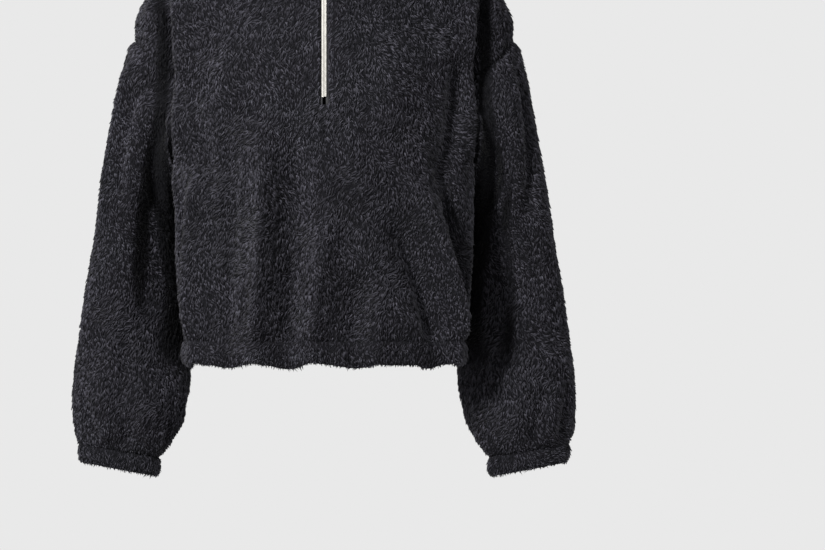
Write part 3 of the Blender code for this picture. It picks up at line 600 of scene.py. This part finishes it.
def shell(name, outer, inner, cells=None, wrap=False, flip=False):
    """Closed wall between two grids of points, with a rim along every open edge."""
    rows, count = outer.shape[:2]
    last = count if wrap else count - 1
    i, j = np.meshgrid(np.arange(rows - 1), np.arange(last), indexing="ij")
    if cells is not None:
        i, j = i[cells], j[cells]
    i, j = i.ravel(), j.ravel()
    k = (j + 1) % count
    quads = np.stack([i * count + j, i * count + k, (i + 1) * count + k, (i + 1) * count + j], axis=1)
    if flip:
        quads = quads[:, ::-1]
    layer = rows * count
    edges = np.concatenate([quads[:, [a, (a + 1) % 4]] for a in range(4)])
    total = 2 * layer
    code = edges[:, 0] * total + edges[:, 1]
    back_code = edges[:, 1] * total + edges[:, 0]
    open_edges = edges[~np.isin(code, back_code)]
    a, b = open_edges[:, 0], open_edges[:, 1]
    rims = np.stack([b, a, layer + a, layer + b], axis=1)
    verts = np.concatenate([outer.reshape(-1, 3), inner.reshape(-1, 3)])
    faces = np.concatenate([quads, layer + quads[:, ::-1], rims])
    used = np.unique(faces)
    renumber = np.zeros(total, int)
    renumber[used] = np.arange(len(used))
    return mesh_object(name, verts[used], quads=renumber[faces])


def tube_faces(count, size, closed):
    """Quads round each ring and from ring to ring, and caps for both ends of an open row."""
    i, j = np.meshgrid(np.arange(count if closed else count - 1), np.arange(size), indexing="ij")
    i, j = i.ravel(), j.ravel()
    k, n = (j + 1) % size, (i + 1) % count
    quads = np.stack([i * size + j, i * size + k, n * size + k, n * size + j], axis=1)
    if closed:
        return quads, None
    fan = np.arange(1, size - 1)
    first = np.stack([0 * fan, fan + 1, fan], axis=1)
    final = (count - 1) * size + np.stack([0 * fan, fan, fan + 1], axis=1)
    return quads, np.concatenate([first, final])


def inside_out(verts, faces):
    """Whether a closed body's faces look inward, by the sign of its volume."""
    corner = (verts - verts.mean(axis=0))[faces[:, :3]]
    return np.einsum("ij,ij->i", corner[:, 0], np.cross(corner[:, 1], corner[:, 2])).sum() < 0


def cell_areas(points, cells=None, wrap=False):
    """Area of each cell of a grid, in square millimetres."""
    if wrap:
        points = np.concatenate([points, points[:, :1]], axis=1)
    a, b = points[:-1, :-1], points[:-1, 1:]
    c, d = points[1:, 1:], points[1:, :-1]
    halves = [np.linalg.norm(np.cross(b - corner, d - corner), axis=-1) for corner in (a, c)]
    size = (halves[0] + halves[1]) / 2
    return size if cells is None else size * cells


def scatter(points, normals, near_seam, area_each, seed, cells=None, wrap=False):
    """Evenly spread places on a grid, with their normals and their nearness to a seam."""
    source = np.random.default_rng(seed)
    size = cell_areas(points, cells, wrap)
    filled = np.cumsum(size.ravel()) / area_each
    number = np.diff(np.concatenate([[0], np.floor(filled)])).astype(int)
    cell = np.repeat(np.arange(len(number)), number)
    i, j = cell // size.shape[1], cell % size.shape[1]
    k = (j + 1) % points.shape[1]
    u = source.random(len(cell))[:, None]
    v = source.random(len(cell))[:, None]

    def blend(grid):
        low = grid[i, j] * (1 - u) + grid[i, k] * u
        high = grid[i + 1, j] * (1 - u) + grid[i + 1, k] * u
        return low * (1 - v) + high * v

    return blend(points), unit(blend(normals)), blend(near_seam[..., None])[:, 0]


def flow_angle(points):
    """Lie of the pile, in radians from straight down.

    Broad swirls and small partings, and two leanings: to one side over the lower middle
    of the front, to the other over its left side and the sleeve.
    """
    angle = sum(turn * waves(points, size, seed, count) for turn, size, seed, count in SWIRLS)
    lower = ease((-300 - points[:, 2]) / 120)
    angle = angle - 0.40 * lower * np.exp(-((points[:, 0] + 20) / 80) ** 2)
    return angle + 0.35 * ease((points[:, 0] - 90) / 60)


def painted_crease_shade(place, normal):
    """Share of painted shade on the locks: in the crease by the arm, and on the sleeve's flank that
    faces the body.
    """
    x, height = np.abs(place[:, 0]), place[:, 2]
    start, end, dark = look_up(PAINTED_CREASE_SHADE, height)
    band = ease((x - start + 2) / 4) * ease((end + 4 - x) / 7) * ease((50 - place[:, 1]) / 20)
    flank = ease((-normal[:, 0] * np.sign(place[:, 0]) - 0.5) / 0.2) * ease((x - 150) / 15)
    return dark * np.maximum(band, flank)


def pile(name, place, normal, seed, near_seam, scale):
    """Coat of locks, each a closed four-faced spike from a buried root over a ridge to its tip.

    Where the sleeve and the side meet, the locks get painted shade: a darker tone and a dimmer ridge.
    """
    source = np.random.default_rng(seed)
    count = len(place)
    angle = flow_angle(place) + source.normal(0, LOCK_SPREAD, count)
    down = unit(DOWN - normal * (normal @ DOWN)[:, None] + 1e-6)
    across = unit(np.cross(normal, down))
    along = unit(down * np.cos(angle)[:, None] + across * np.sin(angle)[:, None])
    clump = waves(place, CLUMP_SIZE, 17, 12)
    gathered = np.stack([waves(place, GATHER_SIZE, 21 + k, 10) for k in range(3)], axis=1)
    gathered = gathered - normal * np.einsum("ij,ij->i", gathered, normal)[:, None]
    along = unit(along + 0.35 * gathered)
    side = np.cross(normal, along)
    short = 1 - 0.65 * np.clip(-1.6 * normal[:, 2], 0, 1)
    long = (scale * short * LOCK_LENGTH * source.uniform(0.65, 1.25, count))[:, None]
    wide = (scale * LOCK_WIDTH * source.uniform(0.65, 1.3, count))[:, None]
    high = PILE * source.uniform(0.45, 1.25, count) * (1 + 0.38 * clump) * (1 - 0.6 * near_seam)
    high = np.clip(high, 0.15 * PILE, 1.6 * PILE)[:, None]
    root = place - along * long * LOCK_ROOT
    left = root + side * wide / 2 - normal * LOCK_SINK
    right = root - side * wide / 2 - normal * LOCK_SINK
    ridge = root + along * long * LOCK_RIDGE + normal * high * 0.72
    tip = place + along * long * LOCK_TIP + normal * high
    tip = tip + side * long * source.normal(0, 0.07, count)[:, None]
    verts = np.stack([left, right, ridge, tip], axis=1)
    one = np.array([(0, 1, 2), (0, 2, 3), (2, 1, 3), (1, 0, 3)])
    if inside_out(verts[0], one):
        one = one[:, ::-1]
    faces = (np.arange(count)[:, None, None] * 4 + one[None]).reshape(-1, 3)
    coat = mesh_object(name, verts.reshape(-1, 3), triangles=faces)
    tone = 0.36 + 0.08 * waves(place, 60.0, 19) + 0.16 * clump + source.normal(0, 0.22, count)
    # Painted shade in the crease by each arm and on the sleeve's flank that faces the body
    painted_shade = painted_crease_shade(place, normal)
    strip = stitched(place)[1]
    tone = np.clip(tone + 0.15 * strip, 0, 1) * (1 - 0.5 * near_seam * (1 - strip))
    # Painted shade: the locks in the crease are darkened in colour
    tone = tone * (1 - 0.9 * painted_shade)
    # Painted shade and highlight on each lock: 0 at its root corners, 1 along its ridge, 0.55 at its
    # tip; dimmer in the crease
    painted_lock_light = (1 - 0.6 * painted_shade)[:, None] * np.array([0.0, 0.0, 1.0, 0.55])
    for label, values in (("tone", np.repeat(tone, 4)), ("tip", painted_lock_light.ravel())):
        layer = coat.data.attributes.new(label, "FLOAT", "POINT")
        layer.data.foreach_set("value", values.astype(np.float32))
    return coat


def srgb(text):
    """Hex sRGB colour as linear values."""
    parts = [int(text[k:k + 2], 16) / 255 for k in (1, 3, 5)]
    return [c / 12.92 if c <= 0.04045 else ((c + 0.055) / 1.055) ** 2.4 for c in parts] + [1.0]


def add_node(tree, kind, settings=None, values=None, links=None):
    """One node with its settings, its plain input values and its links."""
    node = tree.nodes.new(kind)
    for key, value in (settings or {}).items():
        setattr(node, key, value)
    for key, value in (values or {}).items():
        node.inputs[key].default_value = value
    for key, socket in (links or {}).items():
        tree.links.new(socket, node.inputs[key])
    return node


def start_material(name, colour=None, **values):
    """Material with its Principled shader's own values set, and its colour if it has one."""
    made = bpy.data.materials.new(name)
    made.use_nodes = True
    shader = made.node_tree.nodes["Principled BSDF"]
    for key, value in values.items():
        shader.inputs[key.replace("_", " ")].default_value = value
    if colour:
        shader.inputs["Base Color"].default_value = srgb(colour)
    return made, made.node_tree


def attribute(tree, name):
    """A piece's own value at each point."""
    return add_node(tree, "ShaderNodeAttribute", {"attribute_name": name}).outputs["Fac"]


def texture(tree, kind, settings=None, **values):
    """Strength of a texture in the piece's own Object coordinates."""
    place = add_node(tree, "ShaderNodeTexCoord")
    return add_node(tree, kind, settings, values, {"Vector": place.outputs["Object"]}).outputs["Fac"]


def mixed(tree, factor, low, high):
    """Colour from a hex colour to another, or to another node's output."""
    plain = isinstance(high, str)
    values = {"A": srgb(low), "B": srgb(high)} if plain else {"A": srgb(low)}
    links = {"Factor": factor} if plain else {"Factor": factor, "B": high}
    return add_node(tree, "ShaderNodeMix", {"data_type": "RGBA"}, values, links).outputs["Result"]


def surface(made, colour, height, strength, distance):
    """Join a colour, if there is one, and a height to a material's shader."""
    tree = made.node_tree
    shader = tree.nodes["Principled BSDF"]
    if colour is not None:
        tree.links.new(colour, shader.inputs["Base Color"])
    bump = add_node(tree, "ShaderNodeBump", {}, {"Strength": strength, "Distance": distance},
                    {"Height": height})
    tree.links.new(bump.outputs["Normal"], shader.inputs["Normal"])
    return made


def teddy_locks():
    """Brushed polyester teddy pile, tumbled into tufts: dull and uneven, each lock painted near black
    at its root and sides as shade and lighter along its ridge as a painted highlight.
    """
    made, tree = start_material(
        "brushed_polyester_teddy_pile", Roughness=0.85, Sheen_Weight=0.03, Sheen_Roughness=0.5,
        Specular_IOR_Level=0.06)
    lit = mixed(tree, attribute(tree, "tone"), "#0F0F13", "#4C4B53")
    # Painted shade and highlight: near black at each lock's root and sides, its tone along its ridge
    colour = mixed(tree, attribute(tree, "tip"), "#020203", lit)
    hair = texture(tree, "ShaderNodeTexNoise", Scale=1100.0, Detail=2.0)
    return surface(made, colour, hair, 0.35, 0.0004)


def knit_ground():
    """Circular-knit ground that the pile is anchored in, near black between the locks.

    Its back shows inside the garment as a fine matt jersey, with a rib each 1.5 mm.
    """
    made, tree = start_material(
        "circular_knit_polyester_ground", Roughness=0.92, Specular_IOR_Level=0.08)
    clump = texture(tree, "ShaderNodeTexNoise", Scale=260.0, Detail=3.0, Roughness=0.6)
    ribs = texture(tree, "ShaderNodeTexWave", {"bands_direction": "X"}, Scale=105.0, Distortion=1.2)
    return surface(made, mixed(tree, clump, "#060608", "#121215"), ribs, 0.5, 0.0005)


def woven_tape():
    """Woven polyester zip tape: matt, in a herringbone whose wales are 0.8 mm apart."""
    made, tree = start_material("woven_polyester_zip_tape", "#17171A", Roughness=0.8)
    weave = texture(tree, "ShaderNodeTexWave", {"bands_direction": "DIAGONAL"}, Scale=200.0)
    return surface(made, None, weave, 0.6, 0.0003)


def moulded_coil():
    """Polyester monofilament of the coil, extruded and set: warm white with a soft gloss."""
    made, tree = start_material("extruded_polyester_coil", Roughness=0.42)
    grime = texture(tree, "ShaderNodeTexNoise", Scale=60.0, Detail=3.0)
    return surface(made, mixed(tree, grime, "#B4B1AA", "#C3C1BB"), grime, 0.1, 0.0002)


def satin_nickel():
    """Die-cast zinc, barrelled and nickel plated: satin, with fine tumbled scratches."""
    made, tree = start_material(
        "satin_nickel_plated_zinc", "#BDB9B2", Metallic=1.0, Roughness=0.34)
    marks = texture(tree, "ShaderNodeTexNoise", Scale=1500.0, Detail=4.0)
    return surface(made, None, marks, 0.12, 0.0001)


def matt_floor():
    """Matt painted board under the object."""
    made, tree = start_material("matt_pale_paint", "#C4C4C4", Roughness=0.9)
    grain = texture(tree, "ShaderNodeTexNoise", Scale=300.0)
    return surface(made, None, grain, 0.08, 0.0003)


LOCKS = teddy_locks()
GROUND = knit_ground()
TAPE = woven_tape()
COIL = moulded_coil()
NICKEL = satin_nickel()


def keep(piece, material, nodes=(), body=BODY):
    """Finish a piece: material, body, slot and the solids that it stands for."""
    piece.data.materials.append(material)
    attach(piece, body)
    if nodes:
        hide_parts(*nodes)
    return piece


def coats(name, coat_places, seed):
    """Locks at the given places, in as many pieces as the limit asks for."""
    place, normal, near_seam, scale = coat_places
    order = np.argsort(place[:, 2])
    number = len(place) // COAT_LIMIT + 1
    made = []
    for k in range(number):
        part = order[k * len(place) // number:(k + 1) * len(place) // number]
        coat = pile("%s_pile_%d" % (name, k + 1), place[part], normal[part], seed + k + 1,
                    near_seam[part], scale)
        made.append(keep(coat, LOCKS))
    return made


def seam_nearness(points, edges):
    """1 on a seam, 0 a few millimetres away; edges names the grid's sewn sides."""
    away = np.full(points.shape[:2], 1e3)
    rows = np.cumsum(np.linalg.norm(np.diff(points, axis=0, prepend=points[:1]), axis=-1), axis=0)
    cols = np.cumsum(np.linalg.norm(np.diff(points, axis=1, prepend=points[:, :1]), axis=-1), axis=1)
    if "low" in edges:
        away = np.minimum(away, rows)
    if "top" in edges:
        away = np.minimum(away, rows[-1:] - rows)
    if "sides" in edges:
        away = np.minimum(away, np.minimum(cols, cols[:, -1:] - cols))
    return np.exp(-(away / SEAM_HALF_WIDTH) ** 2)


def stitched(place):
    """How near a place is to the topstitching of the zip, and whether it is inside it."""
    x, z = np.abs(place[:, 0]), place[:, 2]
    below = np.maximum(STITCH_LOW_Z + STITCH_FROM_MIDDLE - z, 0)
    away = np.sqrt(x ** 2 + below ** 2) - STITCH_FROM_MIDDLE
    on_front = place[:, 1] < 0
    line = np.exp(-(away / STITCH_HALF_WIDTH) ** 2) * on_front
    return line, (away < -STITCH_HALF_WIDTH) & on_front


def panel(name, points, out, edges, seed, area_each, mask=None, wrap=False, flip=False):
    """One cloth panel: its ground shell, dipped at the seams, its coat, and its cut."""
    near = seam_nearness(points, edges)
    face = points - out * (PILE + SEAM_DIP * near)[..., None]
    ground = shell(name + "_ground", face, points - out * WALL, mask, wrap, flip)
    keep(ground, GROUND, (name,))
    place, normal, near_seam = scatter(face, out, near, area_each, seed, mask, wrap)
    if name == "front":
        line, inside = stitched(place)
        near_seam = np.clip(np.maximum(near_seam, np.maximum(line * 1.5, 0.85 * inside)), 0, 1.5)
    parts = coats(name, (place, normal, near_seam, 1.0), seed)
    if name == "front":
        parts += [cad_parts["zip_tape_left"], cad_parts["zip_tape_right"]]


def profile_points(profile, count):
    """Closed outline of a band, resampled evenly on a smooth curve through its corners."""
    corners = np.stack([profile["out"], profile["down"]], axis=1)
    size = len(corners)
    t = np.linspace(0, size, count, endpoint=False)
    k = t.astype(int)
    f = (t - k)[:, None]
    before, here, after, later = (corners[(k + n) % size] for n in (-1, 0, 1, 2))
    return 0.5 * (2 * here + (after - before) * f + (2 * before - 5 * here + 4 * after - later) * f**2
                  + (3 * here - before - 3 * after + later) * f**3)


def sewn_band(name, base, out, down, profile, seed, ripple):
    """Doubled band on a ring of points, with small gathers and locks on its outer face."""
    outline = profile_points(profile, BAND_POINTS)
    total = profile["down"].max()
    share = outline[:, 1] / total
    reach = (outline[:, 0] - PILE * (outline[:, 0] > -WALL))[None, :, None] * out[:, None, :]
    tucked = 2.2 * np.clip(1 - outline[:, 1] / 4, 0, 1)
    drop = (outline[:, 1] - 1.6 * (share > 0.8)) * (1 - SEAM_GAP / total) + SEAM_GAP - tucked
    rings = base[:, None, :] + reach + drop[None, :, None] * down
    wobble = waves(base, 21.0, seed) * 0.6 + waves(base, 11.0, seed + 1) * 0.4
    gather = ripple * wobble[:, None] * np.sin(math.pi * np.clip(share, 0.02, 1))[None] ** 0.5
    rings = rings + out[:, None, :] * gather[..., None]
    quads, _ = tube_faces(*rings.shape[:2], closed=True)
    quads = quads if name == "cuff_right" else quads[:, ::-1]
    ground = mesh_object(name + "_ground", rings.reshape(-1, 3), quads=quads)
    keep(ground, GROUND, (name,))
    outward = (outline[:, 0] > BAND_FACE_OUT) & (np.arange(BAND_POINTS) < BAND_FACE_POINTS)
    last = int(np.nonzero(outward)[0].max()) + 1
    face = rings[:, :last + 1].transpose(1, 0, 2)
    normal = grid_normals(face, wrap=True)
    normal = normal * np.sign((normal * out).sum())
    near = seam_nearness(face[::-1], ("top",))[::-1]
    places = scatter(face, normal, near, 6.0, seed, wrap=True)
    parts = coats(name, (*places, 0.85), seed)


def raise_collar(front, back, front_out, back_out):
    """Grid of the collar and its normals, straight from the neckline to its top edge.

    Its columns run over the left half of the front, the back and the right half of the
    front, whose top rows take on the normals of the mitre.
    """
    middle = FRONT_COLUMNS
    neck = np.concatenate([front[-1, middle + 1:-1], back[-1], front[-1, 1:middle + 1]])
    angle = np.arctan2(neck[:, 0], -(neck[:, 1] - NECK_MIDDLE_Y))
    top_edge = np.stack([
        COLLAR_TOP_HALF_WIDTH * np.sin(angle),
        NECK_MIDDLE_Y - COLLAR_TOP_HALF_DEPTH * np.cos(angle),
        look_up(COLLAR_TOP, np.degrees(np.abs(angle)))[0]], axis=1)
    top_edge[0, 0] = SLIT_HALF_WIDTH
    top_edge[-1, 0] = -SLIT_HALF_WIDTH
    share = np.linspace(0, 1, COLLAR_ROWS + 1)[:, None, None]
    collar = neck[None] * (1 - share) + top_edge[None] * share
    collar_out = grid_normals(collar)
    neck_out = np.concatenate([front_out[-1, middle + 1:-1], back_out[-1], front_out[-1, 1:middle + 1]])
    mitre = unit(collar_out[0] + neck_out)
    collar_out[0] = mitre
    front_out[-1, middle + 1:-1] = mitre[:FRONT_COLUMNS]
    front_out[-1, 1:middle + 1] = mitre[-FRONT_COLUMNS:]
    back_out[-1] = mitre[FRONT_COLUMNS:-FRONT_COLUMNS]
    front_out[-1, -1] = back_out[-1, 0]
    front_out[-1, 0] = back_out[-1, -1]
    hollow = 0.8 * np.sin(math.pi * share) * (1 + 0.6 * waves(collar, 60.0, 31)[..., None])
    return collar - collar_out * hollow, collar_out


def make_sleeve(front, back, front_out, back_out, side, folds, seed):
    """Sleeve and cuff of a side; the panels' armholes take on the sleeve's normals."""
    word = "left" if side > 0 else "right"
    loop = arm_ring(front, back, side)
    ring_turn = np.linspace(0, 2 * math.pi, 2 * ARM_ROWS, endpoint=False)
    t = np.linspace(0, 1, SLEEVE_ROWS + 1)
    closer_at_ends = SLEEVE_LENGTH * (t - 0.07 * np.sin(2 * math.pi * t))
    turns, alongs = np.meshgrid(ring_turn, closer_at_ends)
    points = sleeve_surface(loop, turns, alongs, side, folds)
    out = side * grid_normals(points, wrap=True)
    gather = waves(points * np.array([1, 1, 0.25]), 22.0, 41) * 1.6 * ease((alongs - 390) / 60)
    points = points + out * (gather * ease((SLEEVE_LENGTH - alongs) / 14))[..., None]
    rim = unit(unit(arm_ring(front_out, back_out, side)) + out[0])
    out[0] = rim
    rows = slice(ARM_LOW_ROW, ARM_TOP_ROW + 1)
    front_column, back_column = SEAM_COLUMNS[side]
    front_out[rows, front_column] = rim[:ARM_ROWS + 1][::-1]
    back_out[rows, back_column] = np.concatenate([rim[ARM_ROWS:], rim[:1]])
    panel("sleeve_" + word, points, out, ("low", "top"), seed, 5.9, wrap=True,
          flip=side < 0)
    last = points[-1]
    spread = last - last.mean(axis=0)
    down = CUFF_DOWN * np.array([side, 1, 1])
    radial = unit(spread - (spread @ down)[:, None] * down)
    sewn_band("cuff_" + word, last, radial, down, CUFF_PROFILE, seed + 50, 0.9)


def make_collar(collar, collar_out):
    """Doubled collar: its coat covers the outside, the top edge and the inside."""
    raised = collar.copy()
    raised[0] += unit(collar[1] - collar[0]) * SEAM_GAP
    outside = raised - collar_out * PILE
    inside = raised - collar_out * (WALL - 0.6)
    ground = shell("collar_ground", outside, inside)
    keep(ground, GROUND, ("collar",))
    near = seam_nearness(raised, ("low",))
    rim = np.stack([outside[-1], inside[-1]])
    up = np.broadcast_to(np.array([0, 0, 1.0]), rim.shape)
    layers = (scatter(outside, collar_out, near, 6.0, 601),
              scatter(inside, -collar_out, 0 * near, 9.0, 602),
              scatter(rim, up, np.zeros(rim.shape[:2]), 3.0, 603))
    places = [np.concatenate(values) for values in zip(*layers)]
    parts = coats("collar", (*places, 0.8), 600)


def dress():
    """Make the cloth: sleeves, panels, bands and collar.

    It returns the line of the zip and its normals, halfway between its two edges.
    """
    front = panel_grid(front=True)
    back = panel_grid(front=False)
    front_out = grid_normals(front)
    back_out = grid_normals(back)
    join_normals(front_out, back_out)
    collar, collar_out = raise_collar(front, back, front_out, back_out)
    for side, folds, seed in ((1, LEFT_SLEEVE_FOLDS, 300), (-1, RIGHT_SLEEVE_FOLDS, 400)):
        make_sleeve(front, back, front_out, back_out, side, folds, seed)
    middle = FRONT_COLUMNS
    cells = np.ones((front.shape[0] - 1, front.shape[1] - 1), bool)
    cells[SLIT_ROW:, middle] = False
    panel("front", front, front_out, ("low", "top", "sides"), 100, 5.9, cells)
    panel("back", back, back_out, ("low", "top", "sides"), 200, 6.3)
    base = np.concatenate([front[0, :-1], back[0, :-1]])
    base_out = np.concatenate([front_out[0, :-1], back_out[0, :-1]])
    sewn_band("hem_casing", base, base_out, DOWN, HEM_PROFILE, 500, 0.9)
    make_collar(collar, collar_out)
    first = SLIT_ROW - 1
    left = np.concatenate([front[first:-1, middle + 1], collar[:, 0]])
    right = np.concatenate([front[first:-1, middle], collar[:, -1]])
    out = np.concatenate([front_out[first:-1, middle] + front_out[first:-1, middle + 1],
                          collar_out[:, 0] + collar_out[:, -1]])
    out[:, 0] = 0
    return (left + right) / 2, unit(out)


# Coil: two rows of ribs that lie between each other
COIL_PITCH = 1.35
COIL_RIB = 0.98
COIL_RINGS = ((0.12, 0.72, 0.25), (0.6, 1.0, 0.0), (2.3, 1.0, 0.0), (2.9, 0.66, 0.35))
COIL_FRONT_DEPTH = 2.3
COIL_THICK = 1.9
ZIP_TOP_CLEAR = 4.9     # from the collar's edge to the highest rib


def coil(path, normal):
    """Ribs of the coil: each is a short rounded bar across the tape, from an array.

    A bar is a row of rings, given as reach from the middle, share of full size and sink.
    """
    distance = np.concatenate([[0], np.cumsum(np.linalg.norm(np.diff(path, axis=0), axis=1))])
    low = np.interp(ZIP_LOW_Z, path[:, 2], distance)
    high = distance[-1] - ZIP_TOP_CLEAR
    turn = np.radians(np.arange(8) * 45 + 22.5)
    section = np.stack([np.cos(turn), np.sin(turn)], axis=1)
    section = np.sign(section) * np.abs(section) ** 0.7

    def at(stations, values):
        return np.stack([np.interp(stations, distance, values[:, k]) for k in range(3)], axis=1)

    bars = []
    for side in (-1, 1):
        start = low + (0.5 if side > 0 else 0) * COIL_PITCH + COIL_RIB / 2
        stations = np.arange(start, high, COIL_PITCH)
        centre = at(stations, path)
        outward = unit(at(stations, normal))
        along = unit(at(stations + 1, path) - centre)
        rings = []
        for reach, size, sink in COIL_RINGS:
            middle = centre - outward * (COIL_FRONT_DEPTH + COIL_THICK / 2 + sink)
            middle = middle + np.array([side * reach, 0, 0])
            ring = middle[:, None] + along[:, None] * (section[None, :, :1] * COIL_RIB / 2 * size)
            rings.append(ring + outward[:, None] * (section[None, :, 1:] * COIL_THICK / 2 * size))
        bars.append(np.stack(rings, axis=1)[:, ::side])
    bars = np.concatenate(bars)
    number, size = bars.shape[1:3]
    quads, caps = tube_faces(number, size, closed=False)
    if inside_out(bars[0].reshape(-1, 3), quads):
        quads, caps = quads[:, ::-1], caps[:, ::-1]
    shift = np.arange(len(bars))[:, None, None] * number * size
    ribs = mesh_object("zip_coil_ribs", bars.reshape(-1, 3), quads=(shift + quads).reshape(-1, 4),
                       triangles=(shift + caps).reshape(-1, 3))
    keep(ribs, COIL, ("zip_chain",))


def softened(node, body, width):
    """Copy of a metal solid, merged and with its edges rounded by a bevel."""
    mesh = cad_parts[node].data.copy()
    work = bmesh.new()
    work.from_mesh(mesh)
    bmesh.ops.remove_doubles(work, verts=work.verts, dist=1e-5)
    bmesh.ops.dissolve_limit(work, angle_limit=math.radians(1), verts=work.verts, edges=work.edges)
    work.to_mesh(mesh)
    work.free()
    mesh.materials.clear()
    piece = placed(node + "_polished", mesh)
    bevel = piece.modifiers.new("rounded_edges", "BEVEL")
    bevel.width = width * MM
    bevel.segments = 3
    bevel.limit_method = "ANGLE"
    mesh.shade_smooth()
    keep(piece, NICKEL, (node,), body=body)


zip_path, zip_out = dress()
coil(zip_path, zip_out)
softened("zip_slider", BODY, 0.35)
softened("zip_pull", "pull", 0.3)
for node in ("zip_tape_left", "zip_tape_right"):
    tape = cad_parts[node]
    for slot in tape.material_slots:
        slot.material = TAPE


def area_light(name, place, aim, size, power):
    """Soft box that faces a point."""
    light = bpy.data.lights.new(name, "AREA")
    light.energy = power
    light.size = size
    made = placed(name, light)
    made.location = place
    made.rotation_euler = (Vector(aim) - Vector(place)).to_track_quat("-Z", "Y").to_euler()


# The photo's frame: its scale, the middle line and the hem in its own pixels
FRAME_WIDE = 825
FRAME_HIGH = 550
PIXEL = 1.15            # millimetres
MIDDLE_COLUMN = 324.1
HEM_ROW = 366
LENS = 300.0
SENSOR = 36.0
FLOOR_SIDES = 96
FLOOR_RADIUS = 2600.0
FLOOR_Z = -1450.0


def stage():
    """Pale floor, soft lights, pale surround and the camera."""
    world = bpy.data.worlds.new("pale_surround")
    world.use_nodes = True
    world.node_tree.nodes["Background"].inputs["Color"].default_value = srgb("#E9E9E9")
    bpy.context.scene.world = world
    bpy.context.scene.view_settings.view_transform = "Standard"
    k = np.arange(FLOOR_SIDES)
    angle = np.linspace(0, 2 * math.pi, FLOOR_SIDES + 1)[:-1]
    ring = FLOOR_RADIUS * np.stack([np.cos(angle), np.sin(angle), 0 * angle], axis=1)
    verts = np.concatenate([ring, [[0, 0, 0]]]) + [0, 0, FLOOR_Z]
    fans = np.stack([k, (k + 1) % FLOOR_SIDES, np.full(FLOOR_SIDES, FLOOR_SIDES)], axis=1)
    floor = mesh_object("floor", verts, triangles=fans)
    floor.data.materials.append(matt_floor())
    area_light("key", (-1.3, -2.5, 0.65), (0.05, 0, -0.35), 0.5, 172)
    area_light("fill", (2.4, -1.9, 0.5), (0.15, 0, -0.4), 1.2, 12)
    area_light("rim", (1.2, 2.2, 1.2), (0.0, 0, -0.3), 1.4, 30)
    camera = bpy.data.cameras.new("camera")
    camera.lens = LENS
    camera.sensor_width = SENSOR
    made = placed("camera", camera)
    distance = FRAME_WIDE * PIXEL * MM * LENS / SENSOR
    middle_z = (-BODY_LENGTH + (HEM_ROW - FRAME_HIGH / 2) * PIXEL) * MM
    made.location = (0, -0.02 - distance, middle_z)
    camera.shift_x = (FRAME_WIDE / 2 - MIDDLE_COLUMN) / FRAME_WIDE
    made.rotation_euler = (math.pi / 2, 0, 0)
    camera.clip_end = 100
    bpy.context.scene.camera = made


stage()
